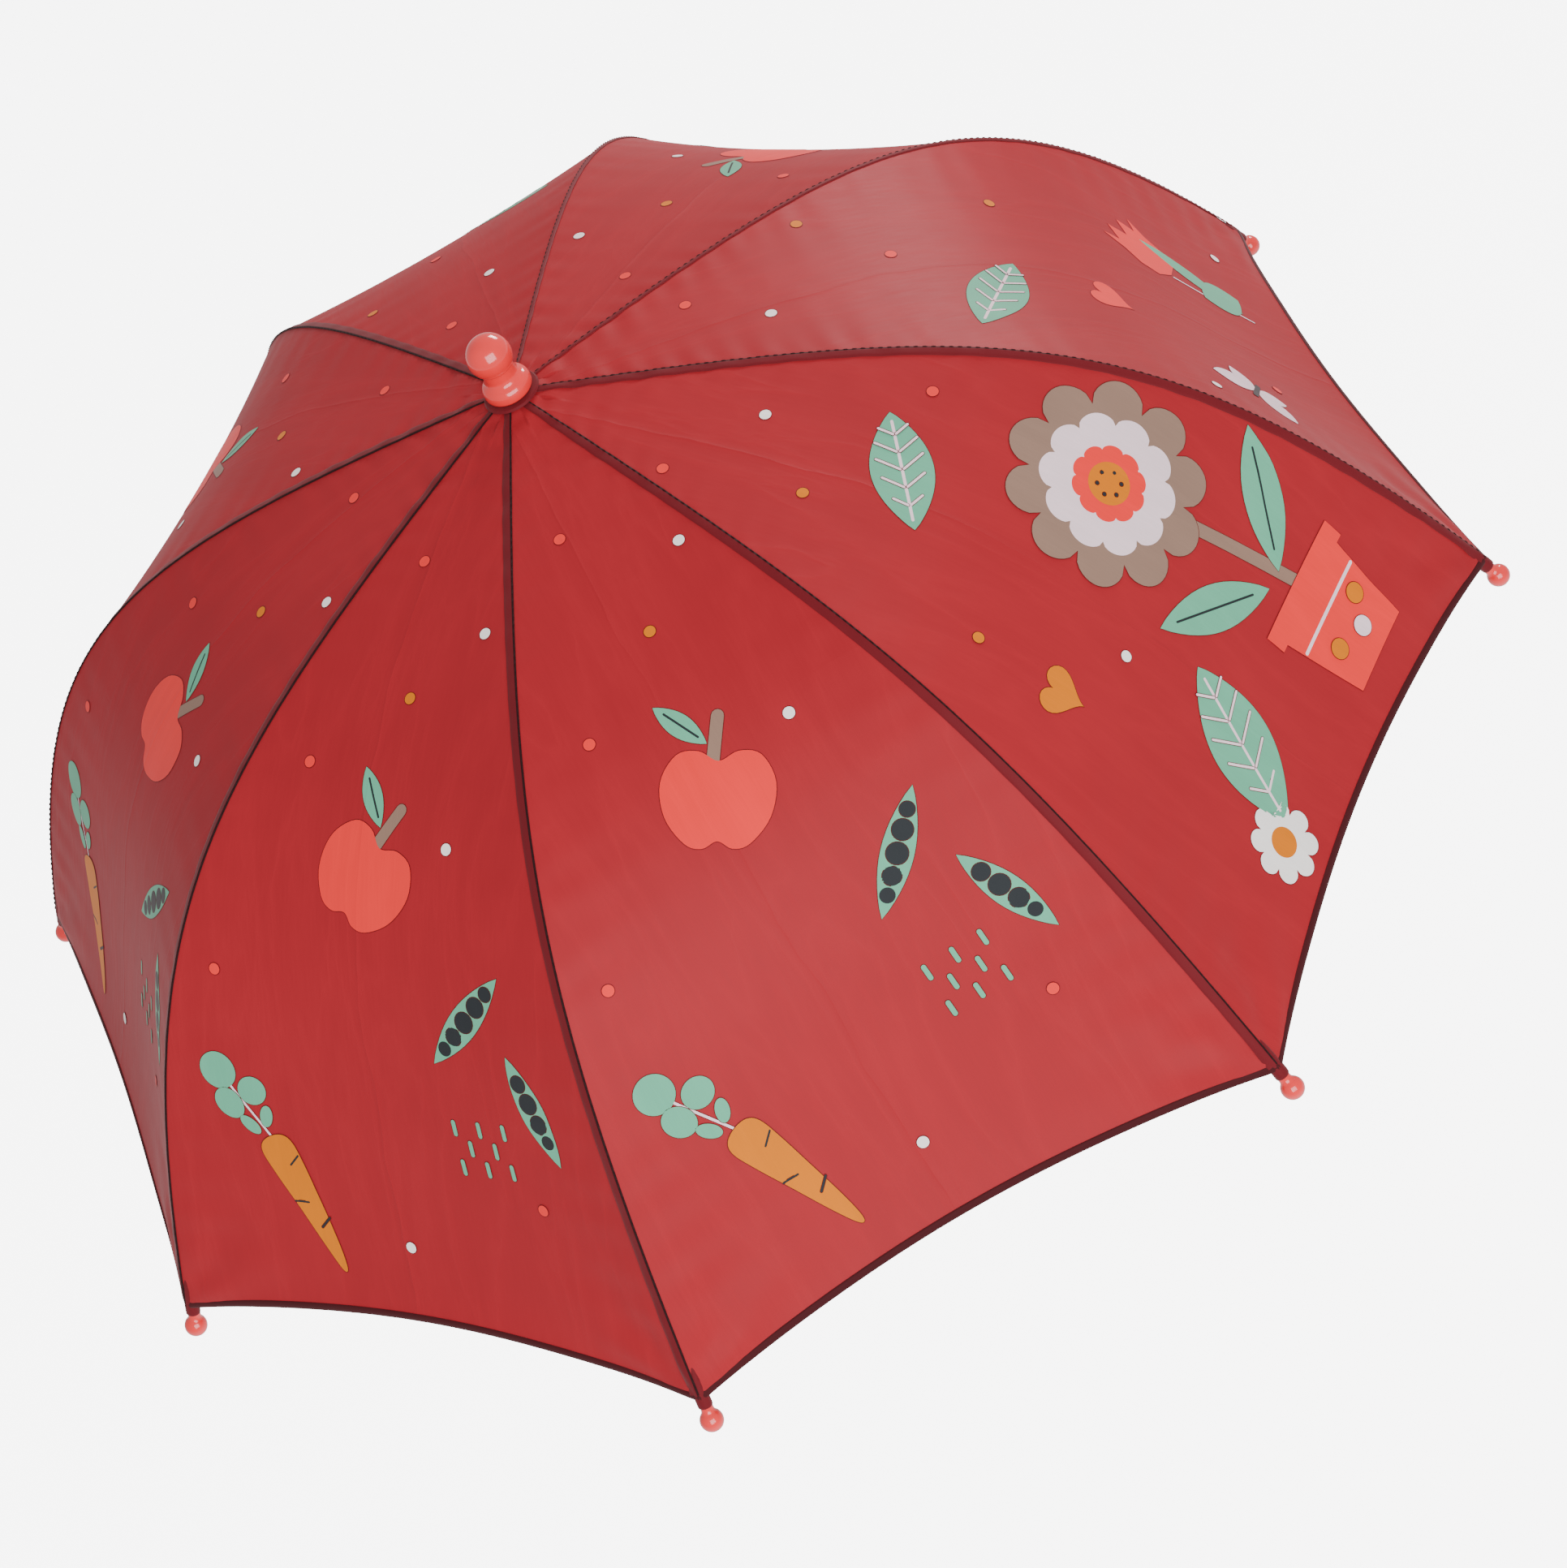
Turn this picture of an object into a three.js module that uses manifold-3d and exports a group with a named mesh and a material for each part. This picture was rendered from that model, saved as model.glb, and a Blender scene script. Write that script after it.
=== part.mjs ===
// A child's stick umbrella with eight ribs, shown open. Units are millimetres and +Z points up the
// shaft. The origin is on the shaft's axis, at the middle of the straight grip of the handle.
import * as THREE from "three";
import { mergeVertices } from "three/addons/utils/BufferGeometryUtils.js";
import Module from "manifold-3d";

// ---- driving dimensions ----
const RIB_COUNT = 8;
const RIM_RADIUS = 350; // shaft axis to the hem corner at a rib
const RIM_HEIGHT = 243; // grip centre to the plane of the hem corners
const DOME_RISE = 240.9; // hem corners to the cloth at the crown
const CLOTH = 0.8; // thickness of the cloth solids
const HEM_SAG = 13; // how far the hem curves up between two ribs, along the cloth
const SEAM_GAP = 0.4; // between solids that touch in the real umbrella
const FIT_GAP = 0.3; // round a pin, a wire or a tube in its hole
const ROD_RADIUS = 1.4; // of a rib
const RIB_DEPTH = 3.3; // cloth's outer face to a rib's centreline
const PIVOT_RADIUS = 10; // shaft axis to the ring wires of crown and runner
const RIVET_RADIUS = 200; // shaft axis to the seam above the stretcher's rivet
const CLOSED_LEAN = 4; // degrees between a closed rib and the shaft
const WIRE_RADIUS = 0.5;
const EYE_RADIUS = 1.55;
const EYE_WIDTH = 1.3; // across the flattened end of a rib or stretcher
const SLOT_WIDTH = 2.2; // in crown and runner, for those ends
const SHAFT_RADIUS = 4.5;
const SHAFT_BORE = 3.7;
const CROWN_HEIGHT = 8.4;
const NOTCH_RADIUS = 12; // of the crown and of the runner's flange
const RUNNER_RADIUS = 8;
const RUNNER_BORE = 4.9;
const RUNNER_DROP = 36; // ring wire to the runner's lower end
const HANDLE_RADIUS = 8;
const GRIP_HALF = 35; // half the straight grip
const CROOK_RADIUS = 26;
const CROOK_RISE = 12; // straight end of the crook
const BALL_RADIUS = 5; // of a rib tip
const TIP_SOCKET = 5; // depth of the hole in a rib tip

const HALF_GORE = Math.PI / RIB_COUNT;
const CATCH_AZIMUTH = -Math.PI / 2 + HALF_GORE; // between two stretchers

const wasm = await Module();
wasm.setup();

const group = new THREE.Group();

// ---- finishes ----
const finish = (color, roughness, metalness) =>
  new THREE.MeshStandardMaterial({ color, roughness, metalness });
const CLOTH_RED = finish(0xb83f3d, 0.55, 0);
const CORAL_PLASTIC = finish(0xf0625e, 0.18, 0);
const BLACK_PLASTIC = finish(0x2a2a2c, 0.4, 0);
const PAINTED_STEEL = finish(0x3a3b3e, 0.35, 0.8);
const BRIGHT_STEEL = finish(0xb9bcc0, 0.25, 1);
const BINDING_RED = finish(0x6a2626, 0.7, 0);

// ---- helpers ----
function addPiece(name, geometry, material, turn = 0) {
  const mesh = new THREE.Mesh(geometry, material);
  mesh.name = name;
  mesh.rotation.z = turn;
  group.add(mesh);
}

function toSolid(geometry) {
  const bare = geometry.clone();
  bare.deleteAttribute("normal");
  bare.deleteAttribute("uv");
  const merged = mergeVertices(bare, 1e-4);
  return new wasm.Manifold(
    new wasm.Mesh({
      numProp: 3,
      vertProperties: merged.attributes.position.array,
      triVerts: new Uint32Array(merged.index.array),
    }),
  );
}

function toGeometry(solid) {
  const { vertProperties, triVerts } = solid.getMesh();
  return new THREE.BufferGeometry()
    .setAttribute("position", new THREE.BufferAttribute(vertProperties, 3))
    .setIndex(new THREE.BufferAttribute(triVerts, 1));
}

// A lathe about Z: profile points are [radius, height].
function latheZ(profile, segments) {
  const points = profile.map(([r, z]) => new THREE.Vector2(r, z));
  return new THREE.LatheGeometry(points, segments).rotateX(Math.PI / 2);
}

// A ring of rectangular section about Z.
function ringZ(inner, outer, low, high, segments) {
  const section = [
    [inner, low],
    [outer, low],
    [outer, high],
    [inner, high],
    [inner, low],
  ];
  return latheZ(section, segments);
}

// An outline of [x, z] points in the plane through the shaft, given a width across that plane.
function plate(shape, width, curveSegments = 3) {
  return new THREE.ExtrudeGeometry(shape, {
    depth: width,
    bevelEnabled: false,
    curveSegments,
  })
    .translate(0, 0, -width / 2)
    .rotateX(Math.PI / 2);
}

function boxAt(x0, x1, y0, y1, z0, z1) {
  return new THREE.BoxGeometry(x1 - x0, y1 - y0, z1 - z0).translate(
    (x0 + x1) / 2,
    (y0 + y1) / 2,
    (z0 + z1) / 2,
  );
}

function rodAlong(curve, radius, sides, steps) {
  const section = new THREE.Shape().absarc(0, 0, radius, 0, 2 * Math.PI);
  return new THREE.ExtrudeGeometry(section, {
    extrudePath: curve,
    steps,
    curveSegments: sides / 2,
    bevelEnabled: false,
  });
}

function ringWire(height) {
  return new THREE.TorusGeometry(PIVOT_RADIUS, WIRE_RADIUS, 5, 24).translate(0, 0, height);
}

const ribAzimuth = (rib) => -Math.PI / 2 + (rib * 2 * Math.PI) / RIB_COUNT;

// ---- the dome: the seam line over one rib, in the plane through the shaft ----
const START_RADIUS = 7;
const START_SLOPE = THREE.MathUtils.degToRad(9.64);
const START_PULL = 204.1;
const END_SLOPE = THREE.MathUtils.degToRad(65.11);
const END_PULL = 208.6;
const dome = new THREE.CubicBezierCurve(
  new THREE.Vector2(START_RADIUS, RIM_HEIGHT + DOME_RISE),
  new THREE.Vector2(
    START_RADIUS + START_PULL * Math.cos(START_SLOPE),
    RIM_HEIGHT + DOME_RISE - START_PULL * Math.sin(START_SLOPE),
  ),
  new THREE.Vector2(
    RIM_RADIUS - END_PULL * Math.cos(END_SLOPE),
    RIM_HEIGHT + END_PULL * Math.sin(END_SLOPE),
  ),
  new THREE.Vector2(RIM_RADIUS, RIM_HEIGHT),
);

// The point of the seam line at t, moved by a depth under the cloth.
function underDome(t, depth) {
  const along = dome.getTangent(t);
  return dome.getPoint(t).add(new THREE.Vector2(along.y, -along.x).multiplyScalar(depth));
}

// The value of t at which the line at a depth has the wanted radius.
function domeAt(radius, depth) {
  let low = 0;
  let high = 1;
  for (let i = 0; i < 50; i++) {
    const middle = (low + high) / 2;
    if (underDome(middle, depth).x < radius) low = middle;
    else high = middle;
  }
  return low;
}

class RibLine extends THREE.Curve {
  constructor(from, to) {
    super();
    this.from = from;
    this.to = to;
  }
  getPoint(u, target = new THREE.Vector3()) {
    const p = underDome(THREE.MathUtils.lerp(this.from, this.to, u), RIB_DEPTH);
    return target.set(p.x, 0, p.y);
  }
}

// ---- the linkage in the plane of one rib ----
const crownT = domeAt(PIVOT_RADIUS, RIB_DEPTH);
const crownPivot = underDome(crownT, RIB_DEPTH);
const rivetT = domeAt(RIVET_RADIUS, 0);
const rivet = underDome(rivetT, RIB_DEPTH);
const armLength = crownPivot.distanceTo(rivet);
const openCos = (crownPivot.y - rivet.y) / armLength;
const closedCos = Math.cos(THREE.MathUtils.degToRad(CLOSED_LEAN));
const runnerZ = crownPivot.y - 2 * armLength * openCos;
const runnerTravel = 2 * armLength * (closedCos - openCos);
const arcSpeed = (t) => dome.getPoint(t + 1e-4).distanceTo(dome.getPoint(t - 1e-4)) / 2e-4;

// ---- canopy: eight gores, each a band above the rivets and a band below them ----
// A gore is straight from rib to rib. It is made about +X, and its edges lie along the two seams.
const TOP_HOLE = 8.2; // radius of the hole for the shaft
function clothSheet(tAt, rows, columns) {
  const positions = [];
  const index = [];
  const width = columns + 1;
  for (const depth of [0, CLOTH])
    for (let i = 0; i <= rows; i++)
      for (let j = 0; j <= columns; j++) {
        const across = (2 * j) / columns - 1;
        const p = underDome(tAt(i / rows, across), depth);
        const halfChord = p.x * Math.sin(HALF_GORE) - SEAM_GAP / 2;
        positions.push(p.x * Math.cos(HALF_GORE), halfChord * across, p.y);
      }
  const layer = (rows + 1) * width;
  const quad = (a, b, c, d) => index.push(a, b, c, a, c, d);
  for (let i = 0; i < rows; i++)
    for (let j = 0; j < columns; j++) {
      const a = i * width + j;
      quad(a, a + width, a + width + 1, a + 1);
      quad(a + layer, a + layer + 1, a + layer + width + 1, a + layer + width);
    }
  for (let i = 0; i < rows; i++) {
    const left = i * width;
    const right = left + columns;
    quad(left, left + layer, left + layer + width, left + width);
    quad(right, right + width, right + width + layer, right + layer);
  }
  for (let j = 0; j < columns; j++) {
    const low = rows * width + j;
    quad(j, j + 1, j + 1 + layer, j + layer);
    quad(low, low + layer, low + layer + 1, low + 1);
  }
  return new THREE.BufferGeometry()
    .setAttribute("position", new THREE.Float32BufferAttribute(positions, 3))
    .setIndex(index);
}

const topT = domeAt(TOP_HOLE, 0);
const bandGap = SEAM_GAP / 2 / arcSpeed(rivetT);
const hemT = 1 - (TIP_SOCKET + SEAM_GAP) / arcSpeed(0.999);
const hemLift = HEM_SAG / arcSpeed(0.999);
const upperCloth = clothSheet((u) => THREE.MathUtils.lerp(topT, rivetT - bandGap, u), 7, 2);
const lowerCloth = clothSheet((u, across) => {
  const end = hemT - hemLift * (1 - across ** 2);
  return THREE.MathUtils.lerp(rivetT + bandGap, end, u);
}, 7, 6);

// ---- ribs ----
const KNUCKLE_RADIUS = 1.6;
const RIVET_PIN = 0.6;
const FORK_GAP = 3.6; // between the two cheeks of a stretcher
const CHEEK = 0.9;
const RIB_FLAT = 8.5; // length of the flattened inner end

const pinAcross = (radius, length, sides) => new THREE.CylinderGeometry(radius, radius, length, sides);

// An eye with a hole, and a tongue from it of the given length, lying along +X.
function eyeTongue(length) {
  const h = ROD_RADIUS;
  const shape = new THREE.Shape()
    .moveTo(0, -EYE_RADIUS)
    .lineTo(length, -h)
    .lineTo(length, h)
    .lineTo(0, EYE_RADIUS)
    .absarc(0, 0, EYE_RADIUS, Math.PI / 2, 1.5 * Math.PI);
  shape.holes.push(new THREE.Path().absarc(0, 0, WIRE_RADIUS + FIT_GAP, 0, 2 * Math.PI, true));
  return plate(shape, EYE_WIDTH, 4);
}

function innerRib() {
  const flat = RIB_FLAT / arcSpeed(0.01);
  const rod = toSolid(rodAlong(new RibLine(crownT + flat, rivetT), ROD_RADIUS, 8, 7));
  const tangent = dome.getTangent(crownT + flat / 2);
  const eye = eyeTongue(RIB_FLAT + 1)
    .rotateY(-Math.atan2(tangent.y, tangent.x))
    .translate(crownPivot.x, 0, crownPivot.y);
  const knuckle = pinAcross(KNUCKLE_RADIUS, 2 * ROD_RADIUS, 8).translate(rivet.x, 0, rivet.y);
  const pin = pinAcross(RIVET_PIN, FORK_GAP + 2 * CHEEK + 0.8, 8).translate(rivet.x, 0, rivet.y);
  return toGeometry(rod.add(toSolid(eye)).add(toSolid(knuckle)).add(toSolid(pin)));
}

function outerRib() {
  const start = (KNUCKLE_RADIUS + SEAM_GAP) / arcSpeed(rivetT);
  return rodAlong(new RibLine(rivetT + start, 1), ROD_RADIUS, 8, 7);
}

// ---- tips: a ball on a short neck, with a socket for the rib's end ----
function ribTip() {
  const neck = 2.7;
  const socket = ROD_RADIUS + FIT_GAP;
  const ballZ = BALL_RADIUS + 1.3;
  const join = Math.asin(neck / BALL_RADIUS);
  const profile = [
    [0, 0.4],
    [socket, 0.4],
    [socket, -TIP_SOCKET + 0.4],
    [neck, -TIP_SOCKET + 0.4],
  ];
  const steps = 7;
  for (let i = 0; i <= steps; i++) {
    const angle = -Math.PI / 2 + join + ((Math.PI - join) * i) / steps;
    const r = i === steps ? 0 : BALL_RADIUS * Math.cos(angle);
    profile.push([r, ballZ + BALL_RADIUS * Math.sin(angle)]);
  }
  const end = underDome(1, RIB_DEPTH);
  const along = dome.getTangent(1);
  return latheZ(profile, 10)
    .rotateY(Math.PI / 2 - Math.atan2(along.y, along.x))
    .translate(end.x, 0, end.y);
}

// ---- stretchers: fork at the rivet, bar, flattened eye at the runner ----
function stretcher() {
  const forkEnd = 12;
  const forkHalf = 1.75;
  const barHalfHeight = 1.5;
  const barWidth = 1.8; // narrower than the slots of the runner, which it passes into
  const tongue = 13;
  const cheekShape = new THREE.Shape()
    .moveTo(0, -forkHalf)
    .lineTo(forkEnd - 3, -forkHalf)
    .lineTo(forkEnd, -barHalfHeight)
    .lineTo(forkEnd, barHalfHeight)
    .lineTo(forkEnd - 3, forkHalf)
    .lineTo(0, forkHalf)
    .absarc(0, 0, forkHalf, Math.PI / 2, 1.5 * Math.PI);
  cheekShape.holes.push(new THREE.Path().absarc(0, 0, RIVET_PIN + FIT_GAP, 0, 2 * Math.PI, true));
  const slot = boxAt(-4, forkEnd - 3, -FORK_GAP / 2, FORK_GAP / 2, -4, 4);
  const fork = toSolid(plate(cheekShape, FORK_GAP + 2 * CHEEK, 4)).subtract(toSolid(slot));
  const bar = boxAt(
    forkEnd - 1,
    armLength - tongue + 1,
    -barWidth / 2,
    barWidth / 2,
    -barHalfHeight,
    barHalfHeight,
  );
  const eye = eyeTongue(tongue).rotateZ(Math.PI).translate(armLength, 0, 0);
  const whole = fork.add(toSolid(bar)).add(toSolid(eye));
  const fall = Math.atan2(rivet.y - runnerZ, -(rivet.x - PIVOT_RADIUS));
  return toGeometry(whole).rotateY(fall).translate(rivet.x, 0, rivet.y);
}

const ribInnerShape = innerRib();
const ribOuterShape = outerRib();
const ribTipShape = ribTip();
const stretcherShape = stretcher();
for (let rib = 0; rib < RIB_COUNT; rib++) {
  const turn = ribAzimuth(rib);
  const label = rib + 1;
  addPiece(`gore_upper_${label}`, upperCloth, CLOTH_RED, turn + HALF_GORE);
  addPiece(`gore_lower_${label}`, lowerCloth, CLOTH_RED, turn + HALF_GORE);
  addPiece(`rib_inner_${label}`, ribInnerShape, PAINTED_STEEL, turn);
  addPiece(`rib_outer_${label}`, ribOuterShape, PAINTED_STEEL, turn);
  addPiece(`rib_tip_${label}`, ribTipShape, CORAL_PLASTIC, turn);
  addPiece(`stretcher_${label}`, stretcherShape, PAINTED_STEEL, turn);
}

// ---- crown and runner: slotted rings that hold the eyes on a wire ----
function cutSlots(body, fromRadius, low, high) {
  const slot = boxAt(fromRadius, NOTCH_RADIUS + 2, -SLOT_WIDTH / 2, SLOT_WIDTH / 2, low, high);
  let left = body;
  for (let rib = 0; rib < RIB_COUNT; rib++)
    left = left.subtract(toSolid(slot.clone().rotateZ(ribAzimuth(rib))));
  return left;
}

const WIRE_ROOM = 0.4;
const wireGroove = (bottom, top) =>
  toSolid(
    ringZ(
      PIVOT_RADIUS - WIRE_RADIUS - WIRE_ROOM,
      PIVOT_RADIUS + WIRE_RADIUS + WIRE_ROOM,
      bottom,
      top,
      24,
    ),
  );

function crown() {
  const top = crownPivot.y + 1.4;
  const low = top - CROWN_HEIGHT;
  const disc = toSolid(ringZ(SHAFT_RADIUS + FIT_GAP, NOTCH_RADIUS, low, top, 24));
  const grooved = disc.subtract(wireGroove(crownPivot.y - WIRE_RADIUS - WIRE_ROOM, top + 1));
  return toGeometry(cutSlots(grooved, PIVOT_RADIUS - EYE_RADIUS - 0.5, low - 1, top + 1));
}

const WINDOW_HALF = 1.6; // half the width of the runner's window
const WINDOW_TOP = -12; // from the ring wire
const WINDOW_LOW = -30;
function runner() {
  const sleeve = toSolid(
    latheZ(
      [
        [RUNNER_BORE, runnerZ - RUNNER_DROP],
        [RUNNER_RADIUS - 0.8, runnerZ - RUNNER_DROP],
        [RUNNER_RADIUS, runnerZ - RUNNER_DROP + 1],
        [RUNNER_RADIUS, runnerZ + 2],
        [RUNNER_BORE, runnerZ + 2],
        [RUNNER_BORE, runnerZ - RUNNER_DROP],
      ],
      24,
    ),
  );
  const flange = toSolid(ringZ(RUNNER_RADIUS - 1, NOTCH_RADIUS, runnerZ - 3.4, runnerZ + 1.6, 24));
  const grooved = flange.subtract(wireGroove(runnerZ - WIRE_RADIUS - WIRE_ROOM, runnerZ + 3));
  const slotted = cutSlots(grooved, RUNNER_RADIUS - 0.5, runnerZ - 5, runnerZ + 4);
  const window = boxAt(
    RUNNER_BORE - 2,
    RUNNER_RADIUS + 2,
    -WINDOW_HALF,
    WINDOW_HALF,
    runnerZ + WINDOW_LOW,
    runnerZ + WINDOW_TOP,
  ).rotateZ(CATCH_AZIMUTH);
  return toGeometry(sleeve.subtract(toSolid(window)).add(slotted));
}

addPiece("crown", crown(), BLACK_PLASTIC);
addPiece("crown_ring_wire", ringWire(crownPivot.y), BRIGHT_STEEL);
addPiece("runner", runner(), BLACK_PLASTIC);
addPiece("runner_ring_wire", ringWire(runnerZ), BRIGHT_STEEL);

// ---- shaft with slots for the two catches ----
const CATCH_REACH = 7; // shaft axis to a catch's nose
const CATCH_LENGTH = 15;
const CATCH_WIDTH = 1.8;
const CATCH_LEAF = 34;
const topCatchZ = runnerZ - RUNNER_DROP - SEAM_GAP; // its flat shoulder, under the open runner
const lowCatchZ = runnerZ - runnerTravel + WINDOW_LOW + SEAM_GAP; // its shoulder, in the window
const HANDLE_TOP = GRIP_HALF;
const BORE_DEPTH = 30.5; // of the hole in the handle for the shaft
const washerZ = RIM_HEIGHT + DOME_RISE + SEAM_GAP;
const WASHER_THICKNESS = 1.2;
const WASHER_RADIUS = 12.5;
const finialZ = washerZ + WASHER_THICKNESS + FIT_GAP;
const FINIAL_SOCKET = 14;

function shaft() {
  const low = HANDLE_TOP - BORE_DEPTH + 0.5;
  const high = finialZ + FINIAL_SOCKET - 0.5;
  const tube = toSolid(ringZ(SHAFT_BORE, SHAFT_RADIUS, low, high, 20));
  const slotAt = (z0, z1) =>
    toSolid(boxAt(0, SHAFT_RADIUS + 2, -1.3, 1.3, z0, z1).rotateZ(CATCH_AZIMUTH));
  const topSlot = slotAt(topCatchZ - CATCH_LENGTH - 2, topCatchZ + 1);
  const lowSlot = slotAt(lowCatchZ - 1, lowCatchZ + CATCH_LENGTH + 2);
  return toGeometry(tube.subtract(topSlot).subtract(lowSlot));
}

// A leaf inside the shaft with a nose through its slot; way is +1 with the flat shoulder on top.
function springCatch(shoulderZ, way) {
  const leaf = 1.2;
  const shape = new THREE.Shape()
    .moveTo(leaf, 1.5)
    .lineTo(leaf + 1, 1.5)
    .lineTo(leaf + 1, 0)
    .lineTo(CATCH_REACH, 0)
    .lineTo(CATCH_REACH, -1.5)
    .lineTo(leaf + 1, -CATCH_LENGTH)
    .lineTo(leaf + 1, -CATCH_LEAF)
    .lineTo(leaf, -CATCH_LEAF)
    .closePath();
  const body = plate(shape, CATCH_WIDTH);
  if (way < 0) body.rotateX(Math.PI);
  return body.rotateZ(CATCH_AZIMUTH).translate(0, 0, shoulderZ);
}

addPiece("shaft", shaft(), PAINTED_STEEL);
addPiece("top_catch", springCatch(topCatchZ, 1), BRIGHT_STEEL);
addPiece("bottom_catch", springCatch(lowCatchZ, -1), BRIGHT_STEEL);

// ---- finial and its washer ----
const FINIAL_BALL = 9.8;
const FINIAL_BALL_Z = 20.6;
function finial() {
  const socket = SHAFT_RADIUS + FIT_GAP;
  const profile = [
    [0, FINIAL_SOCKET],
    [socket, FINIAL_SOCKET],
    [socket, 0],
    [10, 0],
    [10.7, 1.2],
    [10.9, 4],
    [10.4, 6.4],
    [8.9, 7.9],
    [7.3, 8.9],
    [6.6, 10.6],
  ];
  const from = -0.83;
  const steps = 9;
  for (let i = 0; i <= steps; i++) {
    const angle = from + ((Math.PI / 2 - from) * i) / steps;
    const r = i === steps ? 0 : FINIAL_BALL * Math.cos(angle);
    profile.push([r, FINIAL_BALL_Z + FINIAL_BALL * Math.sin(angle)]);
  }
  return latheZ(profile, 16).translate(0, 0, finialZ);
}

addPiece("finial", finial(), CORAL_PLASTIC);
addPiece(
  "finial_washer",
  ringZ(SHAFT_RADIUS + FIT_GAP, WASHER_RADIUS, washerZ, washerZ + WASHER_THICKNESS, 24),
  BINDING_RED,
);

// ---- handle: straight grip and a crook that opens away from the front ----
class CrookLine extends THREE.Curve {
  getPoint(u, target = new THREE.Vector3()) {
    const arc = Math.PI * CROOK_RADIUS;
    const s = u * (2 * GRIP_HALF + arc + CROOK_RISE);
    if (s < 2 * GRIP_HALF) return target.set(0, 0, GRIP_HALF - s);
    if (s > 2 * GRIP_HALF + arc)
      return target.set(0, 2 * CROOK_RADIUS, -GRIP_HALF + s - 2 * GRIP_HALF - arc);
    const angle = (s - 2 * GRIP_HALF) / CROOK_RADIUS;
    return target.set(
      0,
      CROOK_RADIUS * (1 - Math.cos(angle)),
      -GRIP_HALF - CROOK_RADIUS * Math.sin(angle),
    );
  }
}

function handle() {
  const body = toSolid(rodAlong(new CrookLine(), HANDLE_RADIUS, 12, 20));
  const endCap = new THREE.SphereGeometry(HANDLE_RADIUS, 12, 6).rotateX(Math.PI / 2);
  endCap.translate(0, 2 * CROOK_RADIUS, -GRIP_HALF + CROOK_RISE);
  const bore = toSolid(
    latheZ(
      [
        [0, HANDLE_TOP - BORE_DEPTH],
        [SHAFT_RADIUS + FIT_GAP, HANDLE_TOP - BORE_DEPTH],
        [SHAFT_RADIUS + FIT_GAP, HANDLE_TOP + 1],
        [0, HANDLE_TOP + 1],
      ],
      20,
    ),
  );
  return toGeometry(body.add(toSolid(endCap)).subtract(bore));
}

const COLLAR_RADIUS = 9.4;
const COLLAR_HEIGHT = 7;
addPiece("handle", handle(), CORAL_PLASTIC);
addPiece(
  "handle_collar",
  ringZ(SHAFT_RADIUS + FIT_GAP, COLLAR_RADIUS, HANDLE_TOP + FIT_GAP, HANDLE_TOP + COLLAR_HEIGHT, 24),
  BLACK_PLASTIC,
);

// ---- closing strap: a band folded on itself, sewn to the middle of one gore near the hem ----
const STRAP_GORE = 5; // counted from 1
const STRAP_WIDTH = 16;
const STRAP_LAYER = 1.1;
const STRAP_FROM = 0.79;
const STRAP_TO = 0.93;
function strap() {
  const outer = [];
  const inner = [];
  const steps = 6;
  const overCloth = (t, height) => {
    const p = underDome(t, -height);
    return new THREE.Vector2(p.x * Math.cos(HALF_GORE), p.y);
  };
  for (let i = 0; i <= steps; i++) {
    const t = THREE.MathUtils.lerp(STRAP_FROM, STRAP_TO, i / steps);
    outer.push(overCloth(t, SEAM_GAP + 2 * STRAP_LAYER));
    inner.unshift(overCloth(t, SEAM_GAP));
  }
  return plate(new THREE.Shape([...outer, ...inner]), STRAP_WIDTH);
}

addPiece("closing_strap", strap(), CLOTH_RED, ribAzimuth(STRAP_GORE - 1) + HALF_GORE);

export default group;
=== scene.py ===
import bisect
import math

import bmesh
import bpy
from bpy.props import FloatProperty, FloatVectorProperty, IntProperty, PointerProperty
from mathutils import Matrix, Vector


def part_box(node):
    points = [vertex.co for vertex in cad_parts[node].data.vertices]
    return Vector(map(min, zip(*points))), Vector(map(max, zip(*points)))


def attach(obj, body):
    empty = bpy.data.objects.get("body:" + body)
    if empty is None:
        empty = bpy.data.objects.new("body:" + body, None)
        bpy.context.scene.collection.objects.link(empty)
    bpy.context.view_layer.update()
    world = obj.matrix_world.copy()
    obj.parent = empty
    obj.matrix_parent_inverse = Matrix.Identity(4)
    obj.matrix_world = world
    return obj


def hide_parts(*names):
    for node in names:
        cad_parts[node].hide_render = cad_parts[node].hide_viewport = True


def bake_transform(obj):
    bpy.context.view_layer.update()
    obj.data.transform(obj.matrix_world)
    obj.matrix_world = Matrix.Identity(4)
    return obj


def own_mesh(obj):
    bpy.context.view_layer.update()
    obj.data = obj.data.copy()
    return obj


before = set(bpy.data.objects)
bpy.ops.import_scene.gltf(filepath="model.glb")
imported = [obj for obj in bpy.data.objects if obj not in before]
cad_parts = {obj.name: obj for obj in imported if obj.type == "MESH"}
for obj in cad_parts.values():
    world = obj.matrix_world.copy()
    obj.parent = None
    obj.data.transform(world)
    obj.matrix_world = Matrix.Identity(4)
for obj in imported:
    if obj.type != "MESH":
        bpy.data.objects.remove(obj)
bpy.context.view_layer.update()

bl_info = {
    "name": "Child's Umbrella",
    "version": (1, 0, 0),
    "blender": (4, 5, 0),
    "location": "View3D > Sidebar > Umbrella",
    "description": "Builds the cloth, prints, ribs, fittings and handle of a child's stick umbrella",
    "category": "Object",
}

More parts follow.
